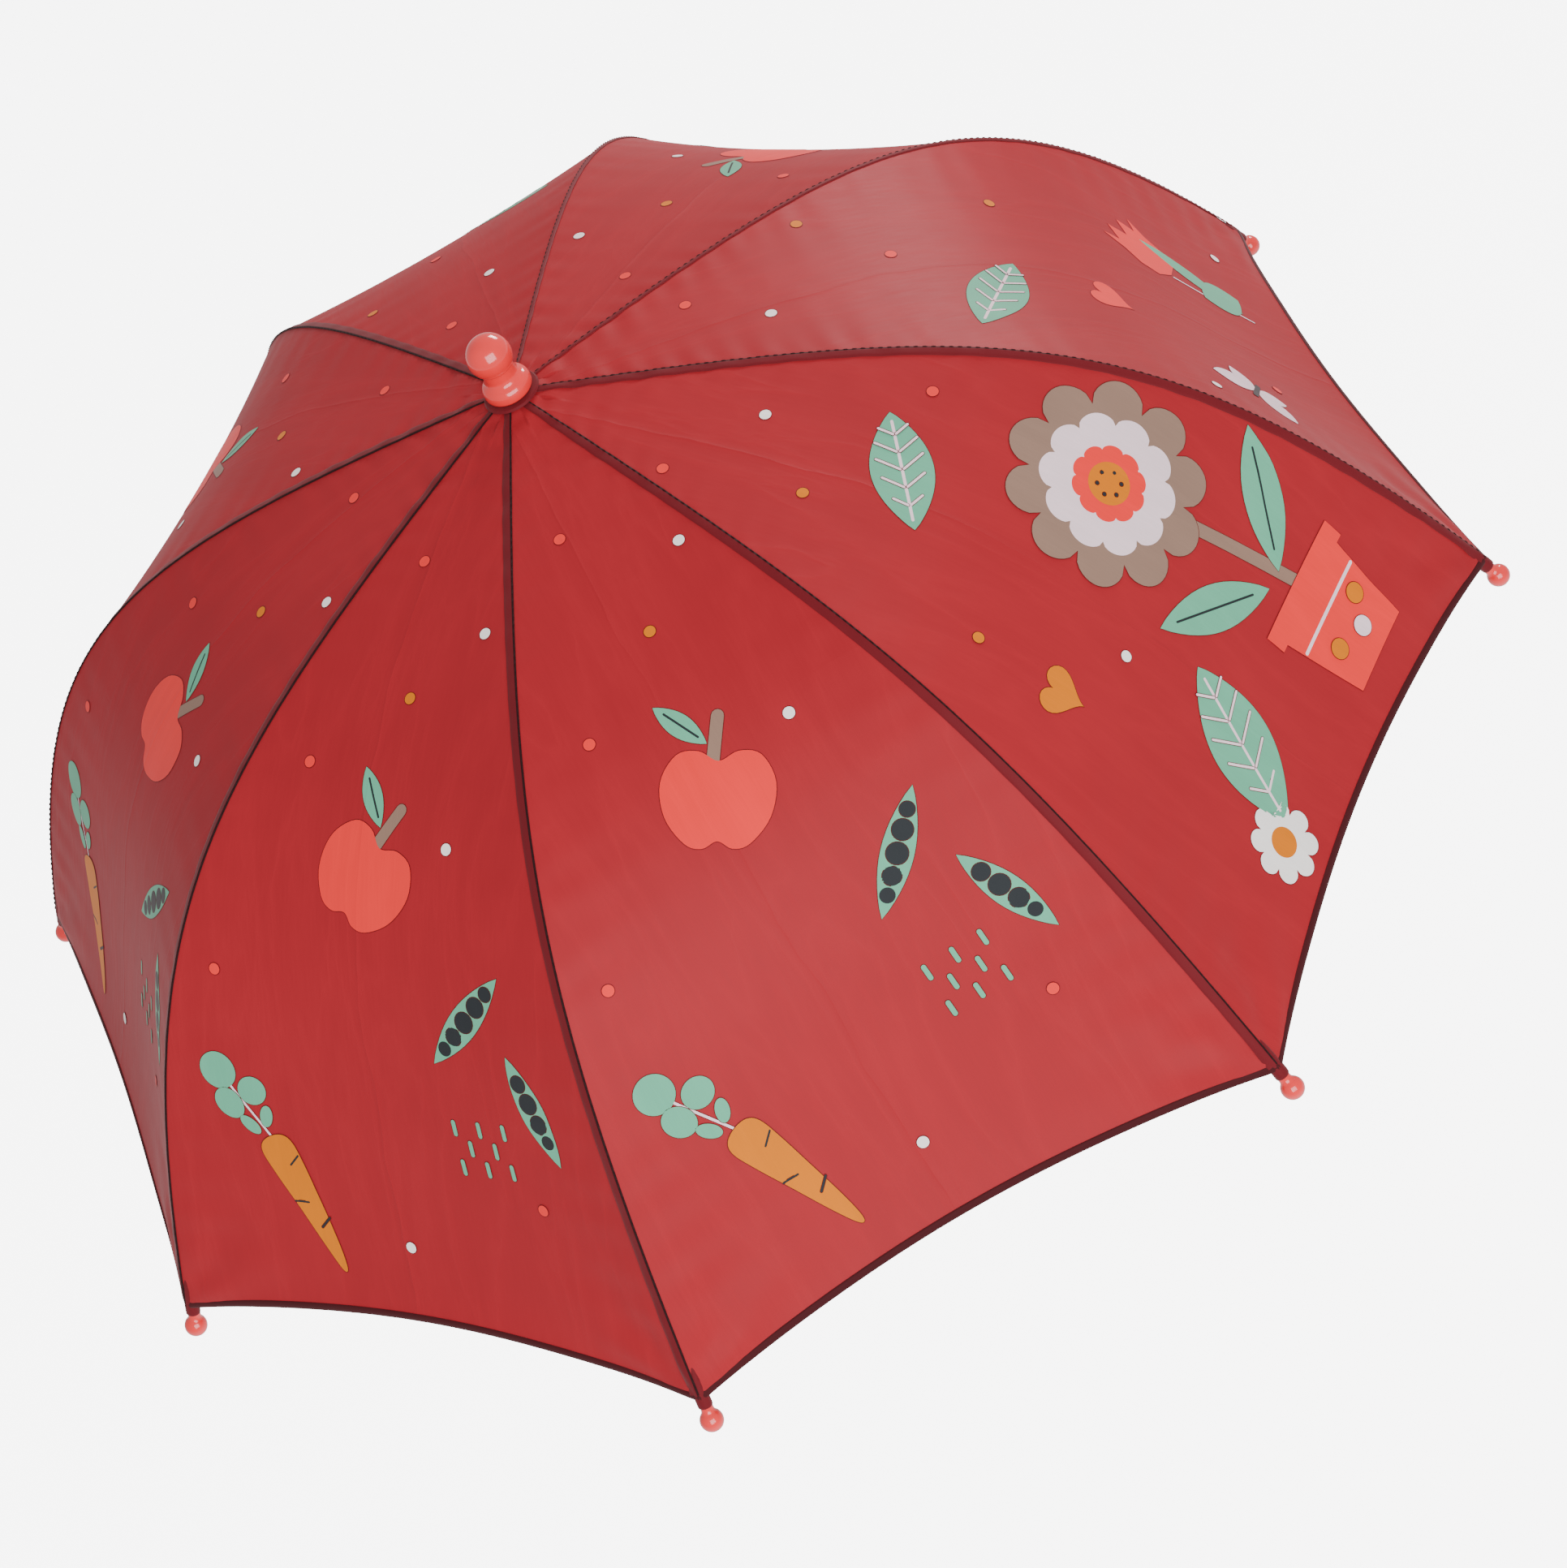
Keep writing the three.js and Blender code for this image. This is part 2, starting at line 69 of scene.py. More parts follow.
# ---- driving sizes in metres, shared with the frame ----
MM = 0.001
RIBS = 8
HALF_GORE = math.pi / RIBS
COS_HALF, SIN_HALF = math.cos(HALF_GORE), math.sin(HALF_GORE)
RIM_RADIUS = 350 * MM
RIM_HEIGHT = 243 * MM
POLE_RADIUS = 7 * MM  # where the dome's curve starts
POLE_HEIGHT = RIM_HEIGHT + 240.9 * MM
POLE_SLOPE = math.radians(9.64)
POLE_PULL = 204.1 * MM
RIM_SLOPE = math.radians(65.11)
RIM_PULL = 208.6 * MM
TOP_HOLE = 8.2 * MM
RIVET_RADIUS = 200 * MM
RIB_DEPTH = 3.3 * MM  # cloth's outer face to a rib's centreline
ROD_RADIUS = 1.4 * MM
PIVOT_RADIUS = 10 * MM
CORNER_GAP = 5.4 * MM  # rib end to the hem's corner
HEM_SAG = 13 * MM
SHAFT_RADIUS = 4.5 * MM
CATCH_AZIMUTH = -math.pi / 2 + HALF_GORE


def rib_azimuth(n):
    """The direction of rib n, counted from 1, seen from above."""
    return -math.pi / 2 + (n - 1) * 2 * HALF_GORE


def gore_azimuth(n):
    """The direction of the middle of gore n, between ribs n and n + 1."""
    return rib_azimuth(n) + HALF_GORE


# ---- settings ----
def colour(name, description, rgb):
    """A colour setting given as 0 to 255 display values."""
    linear = [((c / 255 + 0.055) / 1.055) ** 2.4 if c > 10 else c / 3294 for c in rgb]
    return FloatVectorProperty(
        name=name, description=description, subtype="COLOR", size=3, min=0, max=1, default=linear
    )


def length(name, description, default):
    return FloatProperty(
        name=name, description=description, default=default, min=0, unit="LENGTH", precision=5
    )


class CanopySettings(bpy.types.PropertyGroup):
    """Cloth, seams and hem."""

    cloth: colour("Cloth", "Dyed polyester of the gores", (158, 34, 42))
    # Darker than the cloth partly because the folded allowance and the rib show through, and partly as
    # painted shade of the rib and the fold.
    seam: colour("Seam", "Felled seam over each rib", (104, 22, 30))
    binding: colour("Binding", "Tape round the hem and the tip pockets", (66, 17, 22))
    # Also the colour of the near-black strip along each seam's edge, a painted edge shadow.
    thread: colour("Thread", "Sewing thread of the seams", (40, 14, 16))
    thickness: length("Cloth thickness", "Thickness of the woven cloth", 0.3 * MM)
    seam_width: length("Seam width", "Width of the felled seam", 4.4 * MM)
    hem_width: length("Hem width", "Width of the bound hem", 3.6 * MM)
    stitch: length("Stitch", "Length of one stitch with its gap", 3.6 * MM)
    weave: length("Thread pitch", "Distance between two threads of the weave", 0.32 * MM)
    columns: IntProperty(
        name="Columns", description="Faces across one gore", default=44, min=8, max=80
    )


class PrintSettings(bpy.types.PropertyGroup):
    """Inks of the screen print."""

    coral: colour("Coral", "Apples, hearts and tulips", (238, 50, 48))
    mint: colour("Mint", "Leaves and pods", (98, 176, 143))
    taupe: colour("Taupe", "Stems and large petals", (140, 112, 97))
    mustard: colour("Mustard", "Carrots and flower centres", (212, 116, 0))
    charcoal: colour("Charcoal", "Peas and fine lines", (40, 44, 47))
    pink: colour("Pale pink", "Petals and stalks", (240, 214, 222))
    white: colour("White", "Dots", (250, 244, 240))
    halo: colour("Outline", "Thin overlap of the inks round each figure", (92, 20, 22))


class FittingSettings(bpy.types.PropertyGroup):
    """Plastic and metal parts."""

    coral: colour("Coral plastic", "Finial, tips and handle", (240, 50, 50))
    black: colour("Black plastic", "Crown, runner and ferrule", (26, 26, 28))
    steel: colour("Painted steel", "Shaft, ribs and stretchers", (48, 49, 52))
    bright: colour("Bright steel", "Ring wires and catches", (178, 181, 186))
    handle_radius: length("Grip radius", "Radius of the handle's bar", 8 * MM)
    crook_radius: length("Crook radius", "Centreline radius of the handle's hook", 26 * MM)
    ball_radius: length("Tip radius", "Radius of the ball on a rib's tip", 5 * MM)


class StageSettings(bpy.types.PropertyGroup):
    """Floor, lights and camera."""

    floor_height: FloatProperty(
        name="Floor height", description="Height of the floor", default=-1.5, unit="LENGTH"
    )
    lens: FloatProperty(
        name="Lens", description="Focal length", default=104.55, min=10, unit="CAMERA"
    )
    key_power: FloatProperty(
        name="Key power", description="Power of the largest light in watts", default=102, min=0
    )


# ---- the dome and the flat pattern of a gore ----
def dome_point(t):
    """Radius and height of the seam line at t, from 0 at the pole to 1 at the rim."""
    a, b, c, d = (1 - t) ** 3, 3 * (1 - t) ** 2 * t, 3 * (1 - t) * t**2, t**3
    near = (
        POLE_RADIUS + POLE_PULL * math.cos(POLE_SLOPE),
        POLE_HEIGHT - POLE_PULL * math.sin(POLE_SLOPE),
    )
    far = (
        RIM_RADIUS - RIM_PULL * math.cos(RIM_SLOPE),
        RIM_HEIGHT + RIM_PULL * math.sin(RIM_SLOPE),
    )
    r = a * POLE_RADIUS + b * near[0] + c * far[0] + d * RIM_RADIUS
    z = a * POLE_HEIGHT + b * near[1] + c * far[1] + d * RIM_HEIGHT
    return r, z


def dome_direction(t, shrink=1.0):
    """Unit direction down the dome at t, with the radius shrunk for the middle of a gore."""
    r0, z0 = dome_point(t - 1e-4)
    r1, z1 = dome_point(t + 1e-4)
    return Vector(((r1 - r0) * shrink, 0, z1 - z0)).normalized()


ARC_STEPS = 1200


def arc_lengths(shrink):
    """Length along the dome up to each step, with the radius shrunk for the middle of a gore."""
    lengths = [0.0]
    for i in range(ARC_STEPS):
        r0, z0 = dome_point(i / ARC_STEPS)
        r1, z1 = dome_point((i + 1) / ARC_STEPS)
        lengths.append(lengths[-1] + math.hypot((r1 - r0) * shrink, z1 - z0))
    return lengths


SEAM_ARC = arc_lengths(1.0)
GORE_ARC = arc_lengths(COS_HALF)


def t_at(arc, along):
    i = min(max(bisect.bisect_right(arc, along) - 1, 0), ARC_STEPS - 1)
    return (i + (along - arc[i]) / (arc[i + 1] - arc[i])) / ARC_STEPS


def along_at(arc, t):
    i = min(int(t * ARC_STEPS), ARC_STEPS - 1)
    return arc[i] + (t * ARC_STEPS - i) * (arc[i + 1] - arc[i])


def t_at_radius(radius):
    low, high = 0.0, 1.0
    for _ in range(40):
        middle = (low + high) / 2
        if dome_point(middle)[0] < radius:
            low = middle
        else:
            high = middle
    return low


RIVET_T = t_at_radius(RIVET_RADIUS)
GORE_TOP = along_at(GORE_ARC, t_at_radius(TOP_HOLE))
GORE_FOLD = along_at(GORE_ARC, RIVET_T)
CORNER_ALONG = along_at(GORE_ARC, t_at(SEAM_ARC, SEAM_ARC[-1] - CORNER_GAP))


def hem_along(share):
    """Where the hem crosses a gore, share being -1 and 1 at the two seams."""
    on_seam = SEAM_ARC[-1] - CORNER_GAP - HEM_SAG * (1 - share * share)
    return along_at(GORE_ARC, t_at(SEAM_ARC, on_seam))


def relief(across, along, half):
    """How far tension lifts or dips the cloth: a slack middle, gathers at the corners, seam puckers."""
    from_seam = max(half - abs(across), 0.0)
    share = across / half
    spread = along / CORNER_ALONG
    slack = -115 * MM * (1 - share * share) * spread**4 * (1 - spread)
    reach = math.hypot(from_seam, CORNER_ALONG - along) / (42 * MM)
    fan = math.atan2(from_seam, max(CORNER_ALONG - along, 0.0))
    gather = 0.65 * MM * reach * math.exp(1 - reach * reach) * math.sin(8.0 * fan)
    side = 1.7 if across > 0 else 0.4
    wave = math.sin(along / (2.1 * MM) + side) + 0.6 * math.sin(along / (3.7 * MM) + 3 * side)
    near = (1 - math.exp(-from_seam / (2.5 * MM))) * math.exp(-from_seam / (9 * MM))
    top = math.exp(-along / (70 * MM))
    pucker = (0.1 + 0.7 * top) * MM * near * wave
    reach = (1 - math.exp(-from_seam / (7 * MM))) * math.exp(-from_seam / (26 * MM))
    ripple = 0.5 * MM * reach * math.sin(along / (3.1 * MM) + 2 * side) * spread
    return slack + gather + pucker + ripple


def on_gore(across, along, lift=0.0):
    """A point of a gore whose middle lies over +X, from its flat pattern."""
    t = t_at(GORE_ARC, along)
    r, z = dome_point(t)
    down = dome_direction(t, COS_HALF)
    outward = Vector((-down.z, 0, down.x))
    rise = lift + relief(across, along, r * SIN_HALF)
    return Vector((r * COS_HALF, across, z)) + outward * rise


def on_seam(t, across, lift):
    """A point over the seam that lies over +X, following the two gores down on both sides."""
    r, z = dome_point(t)
    down = dome_direction(t)
    outward = Vector((-down.z, 0, down.x))
    fall = abs(across) * math.tan(HALF_GORE) * outward.x
    half = r * SIN_HALF
    dip = relief(half - abs(across) / COS_HALF, along_at(GORE_ARC, t), half)
    return Vector((r, across, z)) + outward * (lift + dip - fall)


def rib_frame(t, depth=RIB_DEPTH):
    """A frame on the rib that lies over +X: x down the rib, y across, z out of the dome."""
    r, z = dome_point(t)
    down = dome_direction(t)
    outward = Vector((-down.z, 0, down.x))
    centre = Vector((r, 0, z)) - outward * depth
    axes = Matrix((down, (0, 1, 0), outward)).transposed().to_4x4()
    return Matrix.Translation(centre) @ axes


# ---- mesh helpers ----
def turned(azimuth):
    return Matrix.Rotation(azimuth, 4, "Z")


def soften(bm, sharp_degrees):
    """Shades smooth, and keeps the edges sharper than the angle crisp."""
    for face in bm.faces:
        face.smooth = True
    for edge in bm.edges:
        sharp = len(edge.link_faces) == 2 and edge.calc_face_angle() > math.radians(sharp_degrees)
        edge.smooth = not sharp


def to_object(bm, name, finishes, sharp_degrees=40, recalculate=True):
    if recalculate:
        bmesh.ops.remove_doubles(bm, verts=bm.verts, dist=1e-6)
        bmesh.ops.recalc_face_normals(bm, faces=bm.faces)
    soften(bm, sharp_degrees)
    mesh = bpy.data.meshes.new(name)
    bm.to_mesh(mesh)
    bm.free()
    for finish in finishes:
        mesh.materials.append(finish)
    piece = bpy.data.objects.new(name, mesh)
    bpy.context.scene.collection.objects.link(piece)
    return piece


def lay_flat(bm, where):
    """Gives the faces' corners their place on the flat cloth, worked out from their vertex."""
    flat = bm.loops.layers.uv.new("flat")
    for face in bm.faces:
        for loop in face.loops:
            loop[flat].uv = where(loop.vert)


def in_mm(points, base=0.0):
    """Points (r, z) given in millimetres, with the heights above a base in metres."""
    return [(r * MM, base + z * MM) for r, z in points]


def copy_turned(bm, azimuth):
    other = bm.copy()
    bmesh.ops.transform(other, matrix=turned(azimuth), verts=other.verts)
    return other


def sweep(bm, section, stations, material=0):
    """Extrudes a closed section of (y, z) points through a row of frames, and closes both ends."""
    ring = [bm.verts.new(stations[0] @ Vector((0, y, z))) for y, z in section]
    start = bm.faces.new(ring)
    start.material_index = material
    edges = list(start.edges)
    for before, after in zip(stations, stations[1:]):
        made = bmesh.ops.extrude_edge_only(bm, edges=edges)["geom"]
        moved = [v for v in made if isinstance(v, bmesh.types.BMVert)]
        bmesh.ops.transform(bm, matrix=after @ before.inverted(), verts=moved)
        edges = [
            e
            for e in made
            if isinstance(e, bmesh.types.BMEdge) and all(v in moved for v in e.verts)
        ]
        for face in {f for e in edges for f in e.link_faces}:
            face.material_index = material
    for face in bmesh.ops.contextual_create(bm, geom=edges)["faces"]:
        face.material_index = material


def circle(radius, count=20):
    turns = [2 * math.pi * i / count for i in range(count)]
    return [(radius * math.cos(a), radius * math.sin(a)) for a in turns]


def scaled(frame_matrix, across, out):
    return frame_matrix @ Matrix.Diagonal((1, across, out, 1))


def lathe(bm, profile, steps=64, axis_frame=None, material=0):
    """Spins (radius, height) points about Z, or about the z axis of a frame."""
    space = axis_frame or Matrix.Identity(4)
    points = [bm.verts.new((r, 0, z)) for r, z in profile]
    edges = [bm.edges.new(pair) for pair in zip(points, points[1:])]
    before = set(bm.faces)
    bmesh.ops.spin(
        bm,
        geom=points + edges,
        cent=(0, 0, 0),
        axis=(0, 0, 1),
        angle=2 * math.pi,
        steps=steps,
        use_merge=True,
    )
    made = [f for f in bm.faces if f not in before]
    for face in made:
        face.material_index = material
    verts = list({v for f in made for v in f.verts})
    bmesh.ops.transform(bm, matrix=space, verts=verts)


def smooth_line(points, per_span=6, closed=False):
    """A Catmull-Rom curve through the points."""
    count = len(points)
    spans = count if closed else count - 1
    out = []
    for i in range(spans):
        if closed:
            p = [points[(i + k) % count] for k in (-1, 0, 1, 2)]
        else:
            p = [points[min(max(i + k, 0), count - 1)] for k in (-1, 0, 1, 2)]
        for j in range(per_span):
            u = j / per_span
            out.append(
                tuple(
                    0.5
                    * (
                        2 * b
                        + (c - a) * u
                        + (2 * a - 5 * b + 4 * c - d) * u * u
                        + (3 * b - a - 3 * c + d) * u**3
                    )
                    for a, b, c, d in zip(*p)
                )
            )
    if not closed:
        out.append(tuple(points[-1]))
    return out


def arc_points(centre, radius, start, end, count):
    """Points of an arc, angles in degrees."""
    return [
        (
            centre[0] + radius * math.cos(math.radians(start + (end - start) * i / count)),
            centre[1] + radius * math.sin(math.radians(start + (end - start) * i / count)),
        )
        for i in range(count + 1)
    ]


def block(bm, size, matrix):
    """A box of the given size, placed by a matrix."""
    made = bmesh.ops.create_cube(bm, size=1.0)["verts"]
    bmesh.ops.transform(bm, matrix=matrix @ Matrix.Diagonal((*size, 1)), verts=made)


def carve(piece, cutter_mesh):
    """Cuts a closed mesh out of a piece."""
    cutter = to_object(cutter_mesh, piece.name + "_cutter", [])
    cut = piece.modifiers.new("cut", "BOOLEAN")
    cut.operation, cut.solver, cut.object = "DIFFERENCE", "EXACT", cutter
    apply_modifiers(piece)
    bpy.data.objects.remove(cutter)


def apply_modifiers(piece):
    """Turns what the modifiers show into the piece's own mesh."""
    graph = bpy.context.evaluated_depsgraph_get()
    made = bpy.data.meshes.new_from_object(piece.evaluated_get(graph), depsgraph=graph)
    piece.modifiers.clear()
    piece.data = made


def round_edges(piece, width, degrees=35):
    bevel = piece.modifiers.new("rounded", "BEVEL")
    bevel.width, bevel.segments, bevel.profile = width, 2, 0.5
    bevel.limit_method, bevel.angle_limit = "ANGLE", math.radians(degrees)
    apply_modifiers(piece)
    bm = bmesh.new()
    bm.from_mesh(piece.data)
    soften(bm, degrees)
    bm.to_mesh(piece.data)
    bm.free()


# ---- shader groups ----
def new_group(name, inputs, outputs):
    group = bpy.data.node_groups.new(name, "ShaderNodeTree")
    for label, kind, value in inputs:
        socket = group.interface.new_socket(label, in_out="INPUT", socket_type=kind)
        if value is not None:
            socket.default_value = value
    for label, kind in outputs:
        group.interface.new_socket(label, in_out="OUTPUT", socket_type=kind)
    return group, group.nodes.new("NodeGroupInput"), group.nodes.new("NodeGroupOutput")


def node(tree, kind, settings=None, **inputs):
    """A node with its settings and its inputs: a socket is linked, any other value is set."""
    made = tree.nodes.new("ShaderNode" + kind)
    for key, value in (settings or {}).items():
        setattr(made, key, value)
    for key, value in inputs.items():
        index = int(key[1:]) if key[0] == "i" and key[1:].isdigit() else key.replace("_", " ")
        socket = made.inputs[index]
        if isinstance(value, bpy.types.NodeSocket):
            tree.links.new(value, socket)
        else:
            socket.default_value = value
    return made


def maths(tree, operation, a, b=0.0, c=0.0):
    made = node(tree, "Math", {"operation": operation}, i0=a, i1=b, i2=c)
    return made.outputs[0]


def mixed(tree, share, a, b, blend="MIX"):
    settings = {"data_type": "RGBA", "blend_type": blend}
    return node(tree, "Mix", settings, i0=share, i6=a, i7=b).outputs[2]


SURFACE_OUTPUTS = [
    ("Colour", "NodeSocketColor"),
    ("Roughness", "NodeSocketFloat"),
    ("Height", "NodeSocketFloat"),
]


def weave_group():
    """Woven polyester: threads, slubs, soft creases and the fold lines of a packed umbrella."""
    group, given, result = new_group(
        "woven_cloth",
        [
            ("Vector", "NodeSocketVector", None),
            ("Colour", "NodeSocketColor", None),
            ("Pitch", "NodeSocketFloat", 0.0003),
            ("Crease", "NodeSocketFloat", 1.0),
            ("Roughness", "NodeSocketFloat", 0.5),
        ],
        SURFACE_OUTPUTS,
    )
    put = given.outputs
    split = node(group, "SeparateXYZ", i0=put["Vector"])
    turns = maths(group, "DIVIDE", math.pi, put["Pitch"])
    warp = maths(group, "SINE", maths(group, "MULTIPLY", split.outputs[0], turns))
    weft = maths(group, "SINE", maths(group, "MULTIPLY", split.outputs[1], turns))
    threads = maths(group, "MULTIPLY", warp, weft)
    slub = node(group, "Mapping", i0=put["Vector"], Scale=(900, 60, 1))
    slubs = node(group, "TexNoise", Vector=slub.outputs[0], Scale=1.0, Detail=2.0)
    cloud = node(group, "TexNoise", Vector=put["Vector"], Scale=14.0, Detail=3.0)
    stretched = node(group, "Mapping", i0=put["Vector"], Scale=(46, 9, 1))
    drift = node(group, "TexNoise", Vector=stretched.outputs[0], Scale=1.0, Detail=4.0, Distortion=0.6)
    ridge = maths(group, "ABSOLUTE", maths(group, "SUBTRACT", drift.outputs[0], 0.5))
    crinkle = maths(group, "POWER", maths(group, "SUBTRACT", 1.0, ridge), 14.0)
    wobble = maths(group, "MULTIPLY_ADD", cloud.outputs[0], 0.012, split.outputs[0])
    fold = maths(group, "ABSOLUTE", maths(group, "ADD", wobble, 0.002))
    fold_line = maths(group, "EXPONENT", maths(group, "MULTIPLY", fold, -900.0))
    tone = maths(group, "MULTIPLY_ADD", cloud.outputs[0], 0.16, 0.92)
    tone = maths(group, "MULTIPLY_ADD", slubs.outputs[0], 0.10, maths(group, "SUBTRACT", tone, 0.05))
    tone = maths(group, "MULTIPLY_ADD", threads, 0.035, tone)
    tone = maths(group, "MULTIPLY_ADD", maths(group, "MULTIPLY", crinkle, put["Crease"]), 0.07, tone)
    grey = node(group, "CombineColor", i0=tone, i1=tone, i2=tone).outputs[0]
    group.links.new(mixed(group, 1.0, put["Colour"], grey, "MULTIPLY"), result.inputs["Colour"])
    rough = maths(group, "MULTIPLY_ADD", slubs.outputs[0], 0.10, put["Roughness"])
    group.links.new(rough, result.inputs["Roughness"])
    creases = maths(group, "MULTIPLY_ADD", fold_line, 0.9, maths(group, "MULTIPLY", crinkle, 0.35))
    height = maths(group, "MULTIPLY", creases, put["Crease"])
    height = maths(group, "MULTIPLY_ADD", threads, 0.03, height)
    group.links.new(height, result.inputs["Height"])
    return group


def grain_group():
    """Moulded or painted surface: a faint mottle and fine scratches."""
    group, given, result = new_group(
        "worn_surface",
        [
            ("Vector", "NodeSocketVector", None),
            ("Colour", "NodeSocketColor", None),
            ("Scale", "NodeSocketFloat", 120.0),
            ("Mottle", "NodeSocketFloat", 0.05),
            ("Scratches", "NodeSocketFloat", 0.3),
            ("Roughness", "NodeSocketFloat", 0.2),
        ],
        SURFACE_OUTPUTS,
    )
    put = given.outputs
    mottle = node(group, "TexNoise", Vector=put["Vector"], Scale=put["Scale"], Detail=3.0)
    finer = maths(group, "MULTIPLY", put["Scale"], 14.0)
    fine = node(group, "TexNoise", Vector=put["Vector"], Scale=finer, Detail=1.0)
    long = node(group, "Mapping", i0=put["Vector"], Scale=(1400, 900, 60), Rotation=(0.4, 0.7, 0.2))
    scratch = node(group, "TexNoise", Vector=long.outputs[0], Scale=1.0, Detail=2.0)
    marks = maths(group, "GREATER_THAN", scratch.outputs[0], 0.66)
    line = maths(group, "MULTIPLY", marks, put["Scratches"])
    swing = maths(group, "SUBTRACT", mottle.outputs[0], 0.5)
    tone = maths(group, "MULTIPLY_ADD", swing, maths(group, "MULTIPLY", put["Mottle"], 2.0), 1.0)
    grey = node(group, "CombineColor", i0=tone, i1=tone, i2=tone).outputs[0]
    group.links.new(mixed(group, 1.0, put["Colour"], grey, "MULTIPLY"), result.inputs["Colour"])
    rough = maths(group, "MULTIPLY_ADD", line, 0.25, put["Roughness"])
    rough = maths(group, "MULTIPLY_ADD", swing, 0.12, rough)
    group.links.new(rough, result.inputs["Roughness"])
    group.links.new(maths(group, "SUBTRACT", fine.outputs[0], line), result.inputs["Height"])
    return group


GROUPS = {}
FINISHES = {}


def shared_group(name, maker):
    if name not in GROUPS:
        GROUPS[name] = maker()
    return GROUPS[name]


def start_material(name):
    material = bpy.data.materials.new(name)
    material.use_nodes = True
    return material, material.node_tree, material.node_tree.nodes["Principled BSDF"]


def fabric(name, rgb, pitch, crease, roughness, sheen, bump=0.4):
    """Cloth or printed cloth, patterned on the flat pattern's own coordinates."""
    material, tree, shader = start_material(name)
    place = node(tree, "UVMap", {"uv_map": "flat"})
    weave = tree.nodes.new("ShaderNodeGroup")
    weave.node_tree = shared_group("weave", weave_group)
    tree.links.new(place.outputs[0], weave.inputs["Vector"])
    weave.inputs["Colour"].default_value = (*rgb, 1)
    weave.inputs["Pitch"].default_value = pitch
    weave.inputs["Crease"].default_value = crease
    weave.inputs["Roughness"].default_value = roughness
    height = node(tree, "Bump", Strength=bump, Distance=0.5 * MM, Height=weave.outputs["Height"])
    tree.links.new(weave.outputs["Colour"], shader.inputs["Base Color"])
    tree.links.new(weave.outputs["Roughness"], shader.inputs["Roughness"])
    tree.links.new(height.outputs[0], shader.inputs["Normal"])
    shader.inputs["Sheen Weight"].default_value = sheen
    shader.inputs["Sheen Roughness"].default_value = 0.45
    shader.inputs["Sheen Tint"].default_value = (1.0, 0.75, 0.75, 1)
    shader.inputs["IOR"].default_value = 1.42
    shader.inputs["Specular IOR Level"].default_value = 0.15
    return material


def hard(name, rgb, roughness, metal=0.0, coat=0.0, scale=120, mottle=0.05, scratches=0.25, bump=0.06):
    """Plastic or metal with its mottle, scratches and grain."""
    material, tree, shader = start_material(name)
    place = node(tree, "TexCoord")
    grain = tree.nodes.new("ShaderNodeGroup")
    grain.node_tree = shared_group("grain", grain_group)
    tree.links.new(place.outputs["Object"], grain.inputs["Vector"])
    grain.inputs["Colour"].default_value = (*rgb, 1)
    grain.inputs["Scale"].default_value = scale
    grain.inputs["Mottle"].default_value = mottle
    grain.inputs["Scratches"].default_value = scratches
    grain.inputs["Roughness"].default_value = roughness
    height = node(tree, "Bump", Strength=bump, Distance=0.05 * MM, Height=grain.outputs["Height"])
    tree.links.new(grain.outputs["Colour"], shader.inputs["Base Color"])
    tree.links.new(grain.outputs["Roughness"], shader.inputs["Roughness"])
    tree.links.new(height.outputs[0], shader.inputs["Normal"])
    shader.inputs["Metallic"].default_value = metal
    shader.inputs["Coat Weight"].default_value = coat
    shader.inputs["Coat Roughness"].default_value = 0.06
    return material


def make_finishes(scene):
    canopy, inks, fittings = scene.canopy_settings, scene.print_settings, scene.fitting_settings
    pitch = canopy.weave
    FINISHES["cloth"] = fabric("red_polyester", canopy.cloth, pitch, 1.0, 0.46, 0.03)
    # The seam's darker colour is partly painted shade.
    FINISHES["seam"] = fabric("felled_seam", canopy.seam, pitch, 0.2, 0.55, 0.15)
    FINISHES["binding"] = fabric("hem_binding", canopy.binding, 2 * pitch, 0.2, 0.62, 0.15)
    FINISHES["thread"] = fabric("thread_and_painted_edge_shade", canopy.thread, 0.5 * pitch, 0.0, 0.6, 0.1)
    for ink in INKS:
        tone = getattr(inks, ink)
        FINISHES[ink] = fabric("ink_" + ink, tone, pitch, 0.8, 0.52, 0.12, 0.3)
    coral, black = fittings.coral, fittings.black
    FINISHES["plastic"] = hard("coral_plastic", coral, 0.16, coat=0.5, mottle=0.04, scratches=0.12)
    FINISHES["black"] = hard("black_plastic", black, 0.42, scale=400, mottle=0.1, bump=0.25)
    FINISHES["steel"] = hard("painted_steel", fittings.steel, 0.34, 0.55, 0.2, 300, 0.1, 0.5, 0.12)
    FINISHES["bright"] = hard("spring_wire", fittings.bright, 0.24, 1.0, 0, 300, 0.06, 0.5, 0.1)


# ---- canopy ----
UPPER_ROWS = 84
LOWER_ROWS = 76


def cloth_band(canopy, lower):
    """One band of a gore over +X, from its flat pattern, as a shell of cloth."""
    bm = bmesh.new()
    rows = LOWER_ROWS if lower else UPPER_ROWS
    columns = canopy.columns if lower else 3 * canopy.columns // 4
    bmesh.ops.create_grid(bm, x_segments=columns, y_segments=rows, size=1.0)
    pattern = {}
    for vert in bm.verts:
        share, down = vert.co.x, (1 - vert.co.y) / 2
        start = GORE_FOLD if lower else GORE_TOP
        end = hem_along(share) if lower else GORE_FOLD
        along = start + (end - start) * down
        across = share * dome_point(t_at(GORE_ARC, along))[0] * SIN_HALF
        pattern[vert] = (across, along)
    lay_flat(bm, pattern.get)
    for vert, (across, along) in pattern.items():
        vert.co = on_gore(across, along)
    for face in bm.faces:
        face.normal_update()
    outward = sum((f.normal for f in bm.faces), Vector())
    if outward.z < 0:
        bmesh.ops.reverse_faces(bm, faces=bm.faces)
    bmesh.ops.solidify(bm, geom=bm.faces[:], thickness=canopy.thickness)
    return bm


